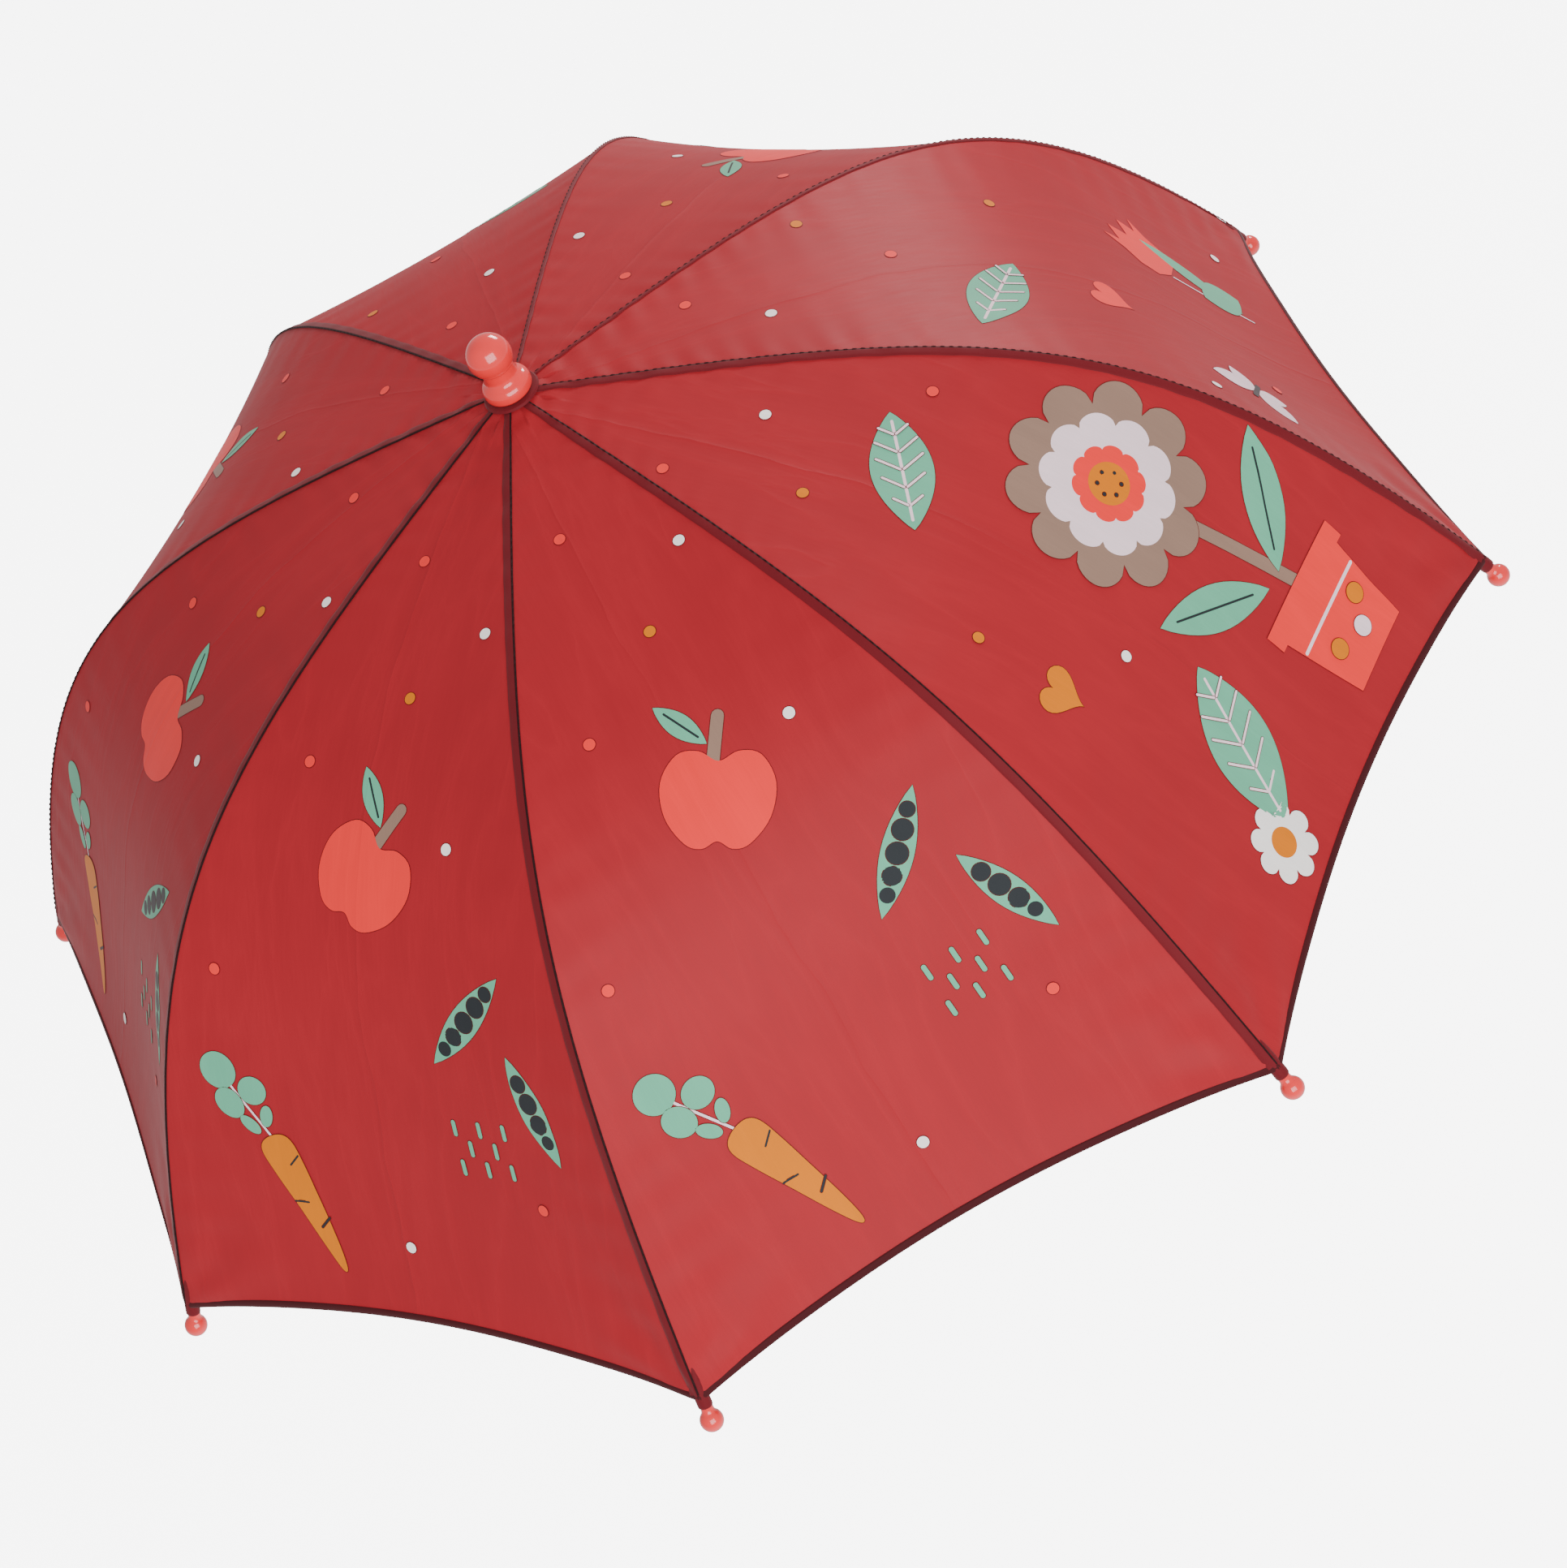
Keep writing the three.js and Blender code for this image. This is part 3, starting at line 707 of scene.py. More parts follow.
def make_canopy(scene):
    canopy = scene.canopy_settings
    bands = {"upper": cloth_band(canopy, False), "lower": cloth_band(canopy, True)}
    for n in range(1, RIBS + 1):
        for band, bm in bands.items():
            placed = copy_turned(bm, gore_azimuth(n))
            piece = to_object(placed, f"cloth_{band}_{n}", [FINISHES["cloth"]], 50, False)
            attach(piece, f"{band}_cloth_{n}")
            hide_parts(f"gore_{band}_{n}")
            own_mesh(piece)
    for bm in bands.values():
        bm.free()


def make_hem(scene):
    """The tape bound round the lower edge of each gore."""
    half_width = scene.canopy_settings.hem_width / 2
    section = [(half_width * y, 0.62 * MM * z) for y, z in circle(1.0, 12)]
    steps = 48
    stations = []
    for i in range(steps + 1):
        share = -1 + 2 * i / steps
        along = hem_along(share) - 0.5 * half_width
        half = dome_point(t_at(GORE_ARC, along))[0] * SIN_HALF
        t = t_at(GORE_ARC, along)
        down = dome_direction(t, COS_HALF)
        outward = Vector((-down.z, 0, down.x))
        centre = on_gore(share * half, along, -0.15 * MM)
        stations.append((centre, down, outward))
    frames = []
    for i, (centre, down, outward) in enumerate(stations):
        ahead = stations[min(i + 1, steps)][0] - stations[max(i - 1, 0)][0]
        ahead.normalize()
        side = outward.cross(ahead).normalized()
        axes = Matrix((ahead, side, ahead.cross(side))).transposed().to_4x4()
        frames.append(Matrix.Translation(centre) @ axes)
    bm = bmesh.new()
    sweep(bm, section, frames)
    lay_flat(bm, lambda vert: vert.co.yz)
    for n in range(1, RIBS + 1):
        placed = copy_turned(bm, gore_azimuth(n))
        piece = to_object(placed, f"hem_binding_{n}", [FINISHES["binding"]])
        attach(piece, f"lower_cloth_{n}")
        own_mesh(piece)
    bm.free()


SEAM_NARROWEST = 0.72  # share of the full width at the crown
SEAM_TAPER = 140 * MM
SEAM_LIFT = 0.62 * MM  # crest of the seam over the cloth
STITCH_RISE = ((0.12, 0.35), (0.3, 1.0), (0.6, 1.0), (0.78, 0.35))  # share of the pitch, size


def seam_width_at(along, full_width):
    return full_width * min(SEAM_NARROWEST + along / SEAM_TAPER, 1.0)


def seam_band(canopy, full_width):
    """A felled seam over the rib that lies over +X, with a near-black strip of painted edge shadow and its
    row of stitches.
    """
    start, end = 2.4 * MM, SEAM_ARC[-1] - 8 * MM
    bm = bmesh.new()
    bmesh.ops.create_grid(bm, x_segments=10, y_segments=170, size=1.0)
    pattern = {}
    for vert in bm.verts:
        along = start + (end - start) * (1 - vert.co.y) / 2
        t = t_at(SEAM_ARC, along)
        width = seam_width_at(along, full_width)
        share = vert.co.x
        across = width * (0.5 * share - 0.36)
        lift = SEAM_LIFT - 0.3 * MM * share**4
        pattern[vert] = (across, along, on_seam(t, across, lift))
    lay_flat(bm, lambda vert: pattern[vert][:2])
    # Faces past 0.6 of the way across take the thread's near-black colour: a painted edge shadow along the
    # seam.
    for face in bm.faces:
        face.material_index = int(face.calc_center_median().x > 0.6)
    for vert, (across, along, place) in pattern.items():
        vert.co = place
    bm.normal_update()
    if sum((f.normal.z for f in bm.faces)) < 0:
        bmesh.ops.reverse_faces(bm, faces=bm.faces)
    bmesh.ops.solidify(bm, geom=bm.faces[:], thickness=0.35 * MM)
    pitch = canopy.stitch
    count = int((end - start) / pitch)
    thread = [(0.22 * MM * y, 0.2 * MM * z) for y, z in circle(1.0, 6)]
    for i in range(count):
        stations = []
        for share, scale in STITCH_RISE:
            along = start + (i + share) * pitch
            t = t_at(SEAM_ARC, along)
            across = 0.06 * seam_width_at(along, full_width)
            place = on_seam(t, across, SEAM_LIFT if scale == 1 else 0.4 * MM)
            base = rib_frame(t)
            base.translation = place
            stations.append(scaled(base, scale, scale))
        sweep(bm, thread, stations, material=1)
    return bm


FLAT_SEAMS = (4, 5)  # pressed the other way, so only their edge shows


def make_seams(scene):
    """The seams over the ribs, from the crown to the tip pockets, their colour darkened partly as painted
    shade.
    """
    canopy = scene.canopy_settings
    wide, narrow = seam_band(canopy, canopy.seam_width), seam_band(canopy, 1.9 * MM)
    for n in range(1, RIBS + 1):
        finishes = [FINISHES["seam"], FINISHES["thread"]]
        placed = copy_turned(narrow if n in FLAT_SEAMS else wide, rib_azimuth(n))
        piece = to_object(placed, f"felled_seam_{n}", finishes, 50, False)
        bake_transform(piece)
    wide.free()
    narrow.free()


# ---- prints ----
INKS = ("halo", "coral", "mint", "taupe", "mustard", "charcoal", "pink", "white")
HALO = 0.28  # mm that the outline shows round a figure


def oval(width, height, count=32):
    turns = [2 * math.pi * i / count for i in range(count)]
    return [(width / 2 * math.cos(a), height / 2 * math.sin(a)) for a in turns]


def leaf(size, width, count=14):
    """A pointed leaf along x."""
    rise = [math.sin(math.pi * i / count) ** 0.85 * width / 2 for i in range(count + 1)]
    xs = [size * (i / count - 0.5) for i in range(count + 1)]
    top = list(zip(xs, rise))
    return top + [(x, -y) for x, y in top[-2:0:-1]]


def bar(size, width):
    """A bar with round ends along x."""
    r = width / 2
    x = size / 2 - r
    return arc_points((x, 0), r, -90, 90, 6) + arc_points((-x, 0), r, 90, 270, 6)


def petals(count, radius, depth, points=14):
    """A ring of round petals."""
    out = []
    for i in range(count * points):
        angle = 2 * math.pi * i / (count * points)
        swell = abs(math.sin(count * angle / 2)) ** 0.55
        r = radius * (1 - depth + depth * swell)
        out.append((r * math.cos(angle), r * math.sin(angle)))
    return out


def heart(size):
    out = []
    for i in range(40):
        a = 2 * math.pi * i / 40
        x = 16 * math.sin(a) ** 3
        y = 13 * math.cos(a) - 5 * math.cos(2 * a) - 2 * math.cos(3 * a) - math.cos(4 * a)
        out.append((x * size / 32, y * size / 32))
    return out[::-1]


APPLE = [(0, 14.5), (-8, 18.5), (-17, 17), (-23, 6), (-21, -8), (-13, -18.5), (-6, -20.5), (0, -17.5)]
CARROT = [(0, 0.5), (-6, -1), (-8.6, -6), (-8, -17), (-6, -34), (-3.8, -52), (-1.8, -63), (0, -66)]
TULIP = [(0, -17), (-11, -14), (-16, -5), (-15, 5), (-17, 17), (-11, 10), (-6, 19), (0, 10)]
POT = [(-31, 24), (31, 24), (31, 14), (27, 14), (21, -27), (-21, -27), (-27, 14), (-31, 14)]


def mirrored(points):
    """Closes a left half with its mirror image."""
    inner = [(-x, y) for x, y in points if abs(x) > 1e-9]
    return points + inner[::-1]


def rounded(points):
    return smooth_line(mirrored(points), 5, closed=True)


def apple():
    return [
        ("taupe", bar(23, 5.2), (-1.5, 24), 86),
        ("coral", rounded(APPLE), (0, 0), 0),
        ("mint", leaf(27, 9.5), (-16, 29), 146),
        ("charcoal", bar(18, 0.9), (-15.5, 29), 146),
    ]


def pod(size, width, peas):
    figures = [("mint", leaf(size, width), (0, 0), 0)]
    room = sum(2 * r + 0.7 for r in peas)
    x = -room / 2
    for radius in peas:
        x += radius + 0.35
        figures.append(("charcoal", oval(2 * radius, 2 * radius, 20), (x, 0), 0))
        x += radius + 0.35
    return figures


def carrot():
    """Its top at the origin, pointing down."""
    figures = [("pink", bar(34, 1.1), (-3.4, 16.5), 102)]
    greens = [(-7.5, 35, 17, 17, 0), (3.2, 21.5, 14, 13, 0), (-10.5, 20, 12.5, 15, 16)]
    greens += [(3.2, 9, 6, 10.5, -38), (-6.5, 8, 6, 11, 28)]
    for x, y, width, height, turn in greens:
        figures.append(("mint", oval(width, height), (x, y), turn))
    figures.append(("mustard", rounded(CARROT), (0, 0), 0))
    for x, y, turn in ((4.5, -13, 24), (-3.2, -31, -22), (2.8, -43, 24)):
        figures.append(("charcoal", bar(7.5, 0.9), (x, y), turn))
    return figures


def daisy(radius):
    """Eight round petals and a plain middle."""
    return [
        ("white", petals(8, radius, 0.3), (0, 0), 0),
        ("mustard", oval(0.75 * radius, 0.75 * radius), (0, 0), 0),
    ]


def butterfly():
    """Two pairs of plain pointed wings on a thin body."""
    figures = []
    for side in (-1, 1):
        figures.append(("pink", leaf(25, 15), (11 * side, 5), side * 32))
        figures.append(("pink", leaf(18, 11), (8 * side, -6), side * -38))
    figures.append(("charcoal", bar(22, 2.6), (0, 0), 90))
    return figures


def tulip():
    return [("coral", mirrored(TULIP), (0, 0), 0)]


def potted_flower():
    """A large flower in a pot, with two leaves, its pot's middle at the origin."""
    flower = (-18, 118)
    figures = [
        ("taupe", bar(86, 6), (-8, 60), 102),
        ("mint", leaf(62, 20), (-36, 52), 142),
        ("charcoal", bar(44, 1), (-36, 52), 142),
        ("mint", leaf(62, 20), (20, 54), 44),
        ("charcoal", bar(44, 1), (20, 54), 44),
        ("coral", POT, (0, 0), 0),
        ("pink", bar(50, 1.6), (0, 4), 0),
        ("taupe", petals(10, 46, 0.24), flower, 0),
        ("pink", petals(10, 31, 0.16), flower, 18),
        ("coral", petals(10, 17, 0.12), flower, 0),
        ("mustard", oval(19, 19), flower, 0),
    ]
    for i in range(6):
        a = math.pi * i / 3
        spot = (flower[0] + 5.5 * math.cos(a), flower[1] + 5.5 * math.sin(a))
        figures.append(("charcoal", oval(1.7, 1.7, 10), spot, 0))
    figures.append(("mustard", oval(9, 9), (-12, -9), 0))
    figures.append(("pink", oval(9, 9), (4, -14), 0))
    figures.append(("mustard", oval(9, 9), (14, -4), 0))
    return figures


def veined_leaf(size, width):
    figures = [("mint", leaf(size, width, 24), (0, 0), 0), ("pink", bar(0.86 * size, 1.3), (0, 0), 0)]
    for i in range(-2, 3):
        x = 0.15 * size * i
        reach = 0.40 * width * (1 - (2 * x / size) ** 2)
        for side in (-1, 1):
            spot = (x + 0.35 * reach, side * 0.5 * reach)
            figures.append(("pink", bar(1.15 * reach, 1.1), spot, side * 54))
    return figures


def dashes(rows=(3, 2, 3), apart=13, drop=9):
    """A patch of short strokes in staggered rows."""
    strokes = []
    for row, count in enumerate(rows):
        for i in range(count):
            spot = ((i - (count - 1) / 2) * apart, (1 - row) * drop)
            strokes.append(("mint", bar(7.5, 2.1), spot, 90))
    return strokes


GOLDEN = 0.618034
DOT_STEP = 30  # mm down the gore from one dot to the next
DOT_ROOM = 15  # mm kept free round a dot


def with_dots(pattern, start):
    """Adds small dots that wander from side to side down the gore and keep clear of the figures."""
    taken = []
    for figures, place, turn in pattern:
        whole = Matrix.Rotation(math.radians(turn), 2)
        for _ink, outline, spot, own in figures:
            spin = Matrix.Rotation(math.radians(own + turn), 2)
            middle = whole @ Vector(spot) + Vector(place)
            taken += [spin @ Vector(p) + middle for p in outline] + [middle]
    spots = []
    for i in range(11):
        along = 75 + DOT_STEP * i
        radius = dome_point(t_at(GORE_ARC, along * MM))[0] / MM
        share = 2 * ((start + GOLDEN * i) % 1) - 1
        spot = Vector((0.82 * share * radius * math.sin(HALF_GORE), -along))
        if min((spot - other).length for other in taken) > DOT_ROOM:
            spots.append((("coral", "white", "mustard")[i % 3], oval(5, 5, 20), tuple(spot), 0))
    return pattern + [(spots, (0, 0), 0)]


def garden_pattern():
    """Fruit and vegetables: (figures, place, turn) in mm, x across the gore and y up it."""
    pattern = [
        (apple(), (-5, -210), -30),
        (pod(55, 13.5, (3.3, 4.0, 4.6, 4.4, 3.2)), (45, -265), 48),
        (pod(50, 13, (3.2, 4.2, 4.5, 3.8)), (75, -300), 115),
        (carrot(), (-65, -330), 22),
        (dashes(), (45, -322), 4),
    ]
    return with_dots(pattern, 0.3)


def flower_pattern():
    """The large potted flower, with two leaves, a daisy and a heart round it."""
    pattern = [
        (potted_flower(), (60, -365), 0),
        (veined_leaf(58, 26), (5, -168), 32),
        (veined_leaf(74, 34), (-20, -350), 64),
        (daisy(17.5), (-45, -385), 10),
        ([("mustard", heart(22), (0, 0), 0)], (-55, -265), 4),
    ]
    return with_dots(pattern, 0.05)


def meadow_pattern():
    """A tulip, a leaf, a heart and a butterfly."""
    stem = [("pink", bar(50, 1), (30, -350), 84)]
    leaves = [("mint", leaf(60, 11), (43, -342), 66), ("mint", leaf(33, 22), (36, -358), 118)]
    pattern = [
        (stem + leaves, (0, 0), 0),
        (tulip(), (46, -313), -47),
        ([("coral", heart(23), (0, 0), 0)], (-20, -260), -32),
        (butterfly(), (-65, -320), 54),
        (veined_leaf(58, 26), (-30, -200), -35),
    ]
    return with_dots(pattern, 0.7)


PATTERNS = {1: garden_pattern, 2: flower_pattern, 3: meadow_pattern, 5: meadow_pattern}
LAYER = 0.05 * MM


def grown(outline, by):
    """An outline moved outward by a small distance."""
    count = len(outline)
    area = sum(
        outline[i][0] * outline[(i + 1) % count][1] - outline[(i + 1) % count][0] * outline[i][1]
        for i in range(count)
    )
    way = 1 if area > 0 else -1
    out = []
    for i, (x, y) in enumerate(outline):
        x0, y0 = outline[i - 1]
        x1, y1 = outline[(i + 1) % count]
        side = Vector((y1 - y0, x0 - x1))
        if side.length > 0:
            side.normalize()
        out.append((x + way * by * side.x, y + way * by * side.y))
    return out


def draw_figure(bm, outline, level, ink, spot, turn):
    """One flat polygon, in metres, facing up; the level says which ink lies on which."""
    spin = Matrix.Rotation(math.radians(turn), 2)
    points = [spin @ Vector(p) + Vector(spot) for p in outline]
    verts = [bm.verts.new((p.x * MM, p.y * MM, level * LAYER)) for p in points]
    face = bm.faces.new(verts)
    face.normal_update()
    if face.normal.z < 0:
        face.normal_flip()
    face.material_index = INKS.index(ink)


def flat_print(pattern):
    """All the figures of one gore in the flat, cut by a grid so that they bend with the cloth."""
    bm = bmesh.new()
    for figures, place, turn in pattern():
        whole = Matrix.Rotation(math.radians(turn), 2)
        for level, (ink, outline, spot, own) in enumerate(figures):
            centre = whole @ Vector(spot) + Vector(place)
            back = grown(outline, HALO)
            draw_figure(bm, back, 2 + 0.5 * level, "halo", centre, own + turn)
            draw_figure(bm, outline, 3 + 0.5 * level, ink, centre, own + turn)
    bmesh.ops.triangulate(bm, faces=bm.faces[:])
    for i in range(-23, 24):
        cut_flat(bm, (i * 6 * MM, 0, 0), (1, 0, 0))
    for i in range(-105, -9):
        cut_flat(bm, (0, i * 4 * MM, 0), (0, 1, 0))
    cut_flat(bm, (0, -GORE_FOLD, 0), (0, 1, 0))
    return bm


def cut_flat(bm, point, normal):
    whole = bm.verts[:] + bm.edges[:] + bm.faces[:]
    bmesh.ops.bisect_plane(bm, geom=whole, plane_co=point, plane_no=normal, dist=1e-7)


def make_prints(scene):
    """The inks on each gore, in the band above the fold and the band below it."""
    finishes = [FINISHES[ink] for ink in INKS]
    flats = {}
    for n in range(1, RIBS + 1):
        pattern = PATTERNS.get(n, garden_pattern)
        if pattern not in flats:
            flats[pattern] = flat_print(pattern)
        for band in ("upper", "lower"):
            bm = flats[pattern].copy()
            middle = {f: f.calc_center_median().y for f in bm.faces}
            lower = {f for f, y in middle.items() if y < -GORE_FOLD}
            away = [f for f in bm.faces if (f in lower) == (band == "upper")]
            bmesh.ops.delete(bm, geom=away, context="FACES")
            lay_flat(bm, lambda vert: (vert.co.x, -vert.co.y))
            for vert in bm.verts:
                vert.co = on_gore(vert.co.x, -vert.co.y, vert.co.z)
            bmesh.ops.transform(bm, matrix=turned(gore_azimuth(n)), verts=bm.verts)
            piece = to_object(bm, f"print_{band}_{n}", finishes, 50, False)
            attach(piece, f"{band}_cloth_{n}")
            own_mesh(piece)
    for bm in flats.values():
        bm.free()


# ---- closing strap ----
STRAP_GORE = 5
STRAP_WIDTH = 16 * MM
STRAP_LENGTH = 118 * MM
STRAP_TO_HEM = 8 * MM
SNAP_TO_END = 9 * MM


def make_strap(scene):
    """A folded band of the cloth, sewn across the middle of gore 5 near the hem."""
    bm = bmesh.new()
    bmesh.ops.create_grid(bm, x_segments=8, y_segments=56, size=1.0)
    end = hem_along(0) - STRAP_TO_HEM
    pattern = {}
    for vert in bm.verts:
        across = STRAP_WIDTH / 2 * vert.co.x
        along = end - STRAP_LENGTH * (1 + vert.co.y) / 2
        edge = 0.25 * MM * abs(vert.co.x) ** 6
        pattern[vert] = (across, along, on_gore(across, along, 2.1 * MM - edge))
    lay_flat(bm, lambda vert: pattern[vert][:2])
    for vert, (_, _, place) in pattern.items():
        vert.co = place
    bm.normal_update()
    if sum(f.normal.x for f in bm.faces) < 0:
        bmesh.ops.reverse_faces(bm, faces=bm.faces)
    bmesh.ops.solidify(bm, geom=bm.faces[:], thickness=1.5 * MM)
    bmesh.ops.transform(bm, matrix=turned(gore_azimuth(STRAP_GORE)), verts=bm.verts)
    piece = to_object(bm, "strap_band", [FINISHES["cloth"]], 50, False)
    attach(piece, "lower_cloth_5")
    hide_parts("closing_strap")
    snap = bmesh.new()
    dome = [(0, 2.2), (2.4, 1.8), (4.2, 0.8), (4.8, 0), (4.4, -0.4), (0, -0.4)]
    along = end - (STRAP_LENGTH - SNAP_TO_END)
    place = on_gore(0, along, 2.3 * MM)
    down = dome_direction(t_at(GORE_ARC, along), COS_HALF)
    outward = Vector((-down.z, 0, down.x))
    axes = Matrix((down, outward.cross(down), outward)).transposed().to_4x4()
    lathe(snap, in_mm(dome), 32, turned(gore_azimuth(STRAP_GORE)) @ Matrix.Translation(place) @ axes)
    button = to_object(snap, "strap_snap", [FINISHES["black"]])
    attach(button, "lower_cloth_5")


# ---- ribs, tips and stretchers ----
def make_ribs(scene):
    crown_t = t_at_radius(PIVOT_RADIUS + 0.6 * MM)
    count = 26
    upper = bmesh.new()
    stations = []
    for i in range(count + 1):
        t = crown_t + (RIVET_T - crown_t) * i / count
        flat = max(0.0, 1 - i / 2.5)
        stations.append(scaled(rib_frame(t), 1 - 0.54 * flat, 1 + 0.1 * flat))
    sweep(upper, circle(ROD_RADIUS, 16), stations)
    knuckle = rib_frame(RIVET_T) @ Matrix.Rotation(math.pi / 2, 4, "X")
    lathe(upper, in_mm([(0, -1.4), (1.6, -1.4), (1.6, 1.4), (0, 1.4)]), 24, knuckle)
    head = [(0.6, 2.7), (1.15, 2.75), (0.9, 3.2), (0, 3.4)]
    pin = [(r, -z) for r, z in head[::-1]] + head
    lathe(upper, in_mm(pin), 16, knuckle)
    lower = bmesh.new()
    start = t_at(SEAM_ARC, along_at(SEAM_ARC, RIVET_T) + 2 * MM)
    stations = []
    for i in range(count + 1):
        t = start + (0.999 - start) * i / count
        size = 0.8 if i == 0 else 1
        stations.append(scaled(rib_frame(t), size, size))
    sweep(lower, circle(ROD_RADIUS, 16), stations)
    shapes = {"upper": (upper, "inner_rib", "rib_inner"), "lower": (lower, "outer_rib", "rib_outer")}
    for n in range(1, RIBS + 1):
        for band, (bm, body, cad) in shapes.items():
            placed = copy_turned(bm, rib_azimuth(n))
            piece = to_object(placed, f"rib_{band}_rod_{n}", [FINISHES["steel"]])
            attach(piece, f"{body}_{n}")
            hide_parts(f"{cad}_{n}")
    upper.free()
    lower.free()


def make_tips(scene):
    """A glossy ball on each rib's end, and the cloth pocket that holds it."""
    ball = scene.fitting_settings.ball_radius
    along_rib = rib_frame(0.9999) @ Matrix.Rotation(math.pi / 2, 4, "Y")
    neck = 2.7 * MM
    join = math.degrees(math.asin(neck / ball))
    centre = ball + 1.3 * MM
    profile = [(0, -5 * MM), (neck, -5 * MM), (neck, 0.6 * MM), (1.02 * neck, 1.3 * MM)]
    profile += arc_points((0, centre), ball, -90 + join + 6, 90, 22)
    profile[-1] = (0, centre + ball)
    cap = bmesh.new()
    lathe(cap, profile, 40, along_rib)
    pocket = bmesh.new()
    stations = []
    steps = ((-26, 0.6, 0.2, -1.7), (-20, 0.72, 0.36, -1.5), (-14, 0.86, 0.56, -1.7))
    steps += ((-9, 0.95, 0.8, -2.3), (-5, 1.0, 0.95, -2.8), (-2, 1.0, 1.0, -3.0))
    steps += ((-1.0, 0.97, 0.97, -3.0), (-0.6, 0.85, 0.85, -3.0))
    for distance, wide, tall, depth in steps:
        t = t_at(SEAM_ARC, SEAM_ARC[-1] + min(distance, -0.2) * MM)
        base = rib_frame(t, -depth * MM)
        base.translation += dome_direction(t) * max(distance, 0) * MM
        stations.append(scaled(base, wide, tall))
    sweep(pocket, circle(3.2 * MM, 24), stations)
    lay_flat(pocket, lambda vert: vert.co.yz)
    for n in range(1, RIBS + 1):
        piece = to_object(copy_turned(cap, rib_azimuth(n)), f"tip_ball_{n}", [FINISHES["plastic"]])
        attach(piece, f"outer_rib_{n}")
        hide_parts(f"rib_tip_{n}")
        sleeve = to_object(copy_turned(pocket, rib_azimuth(n)), f"tip_pocket_{n}", [FINISHES["seam"]])
        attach(sleeve, f"outer_rib_{n}")
    cap.free()
    pocket.free()


def make_stretchers(scene):
    """A pressed channel from each rivet to the runner, forked round the rib's knuckle."""
    rivet = rib_frame(RIVET_T).translation
    low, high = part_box("runner_ring_wire")
    eye = Vector((PIVOT_RADIUS, 0, (low.z + high.z) / 2))
    way = (eye - rivet).normalized()
    side = Vector((0, 1, 0))
    axes = Matrix((way, side, way.cross(side))).transposed().to_4x4()
    base = Matrix.Translation(rivet) @ axes
    reach = (eye - rivet).length
    bm = bmesh.new()
    channel = [(-1.3, 1.5), (1.3, 1.5), (1.3, -1.5), (0.9, -1.5)]
    channel += [(0.9, 1.05), (-0.9, 1.05), (-0.9, -1.5), (-1.3, -1.5)]
    steps = [(8 * MM, 2.05, 1.1), (11 * MM, 1.9, 1.08), (17 * MM, 1, 1), (60 * MM, 1, 1)]
    steps += [(120 * MM, 1, 1), (reach - 14 * MM, 1, 1), (reach - 8 * MM, 0.55, 0.95)]
    stations = []
    for distance, wide, tall in steps:
        stations.append(scaled(base @ Matrix.Translation((distance, 0, 0)), wide, tall))
    sweep(bm, in_mm(channel), stations)
    tongue = bmesh.ops.create_cone(
        bm, cap_ends=True, segments=20, radius1=1.55 * MM, radius2=1.55 * MM, depth=1.3 * MM
    )["verts"]
    flat = Matrix.Translation((reach, 0, 0)) @ Matrix.Rotation(math.pi / 2, 4, "X")
    bmesh.ops.transform(bm, matrix=base @ flat, verts=tongue)
    block(bm, (9 * MM, 1.3 * MM, 2.6 * MM), base @ Matrix.Translation((reach - 4.8 * MM, 0, 0)))
    for y in (-1, 1):
        cheek = base @ Matrix.Translation((0, 2.25 * y * MM, 0))
        disc = bmesh.ops.create_cone(
            bm, cap_ends=True, segments=20, radius1=1.75 * MM, radius2=1.75 * MM, depth=0.8 * MM
        )["verts"]
        bmesh.ops.transform(bm, matrix=cheek @ Matrix.Rotation(math.pi / 2, 4, "X"), verts=disc)
        block(bm, (10 * MM, 0.8 * MM, 3.3 * MM), cheek @ Matrix.Translation((5 * MM, 0, 0)))
    for n in range(1, RIBS + 1):
        piece = to_object(copy_turned(bm, rib_azimuth(n)), f"strut_channel_{n}", [FINISHES["steel"]])
        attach(piece, f"stretcher_{n}")
        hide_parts(f"stretcher_{n}")
    bm.free()


# ---- crown, runner, shaft and catches ----
GROOVE = (9.1, 10.9)  # mm, radii of the ring wire's groove
CATCH_SLOT = 18 * MM
CATCH_MARGIN = 0.5 * MM  # catch's tip to the slot's end


def ring_wire(name, node_name, body):
    low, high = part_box(node_name)
    centre = (PIVOT_RADIUS, (low.z + high.z) / 2)
    profile = arc_points(centre, 0.5 * MM, 0, 360, 12)
    bm = bmesh.new()
    lathe(bm, profile, 72)
    piece = to_object(bm, name, [FINISHES["bright"]])
    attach(piece, body)
    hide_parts(node_name)


def slot_cutter(inner, low, high):
    """Eight radial slots, for the eyes of the ribs or stretchers."""
    bm = bmesh.new()
    for n in range(1, RIBS + 1):
        centre = Matrix.Translation((inner + 5 * MM, 0, (low + high) / 2))
        block(bm, (10 * MM, 2.2 * MM, high - low), turned(rib_azimuth(n)) @ centre)
    return bm


def make_crown(scene):
    low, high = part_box("crown")
    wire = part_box("crown_ring_wire")[0].z
    bm = bmesh.new()
    inner, outer = SHAFT_RADIUS + 0.3 * MM, 12 * MM
    groove = [radius * MM for radius in GROOVE]
    profile = [(inner, low.z), (outer, low.z), (outer, high.z), (groove[1], high.z), (groove[1], wire)]
    profile += [(groove[0], wire), (groove[0], high.z), (inner, high.z), (inner, low.z)]
    lathe(bm, profile, 72)
    piece = to_object(bm, "top_notch", [FINISHES["black"]])
    carve(piece, slot_cutter(7.9 * MM, low.z - 1 * MM, high.z + 1 * MM))
    round_edges(piece, 0.25 * MM)
    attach(piece, "shaft")
    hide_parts("crown")
    ring_wire("crown_ring", "crown_ring_wire", "shaft")


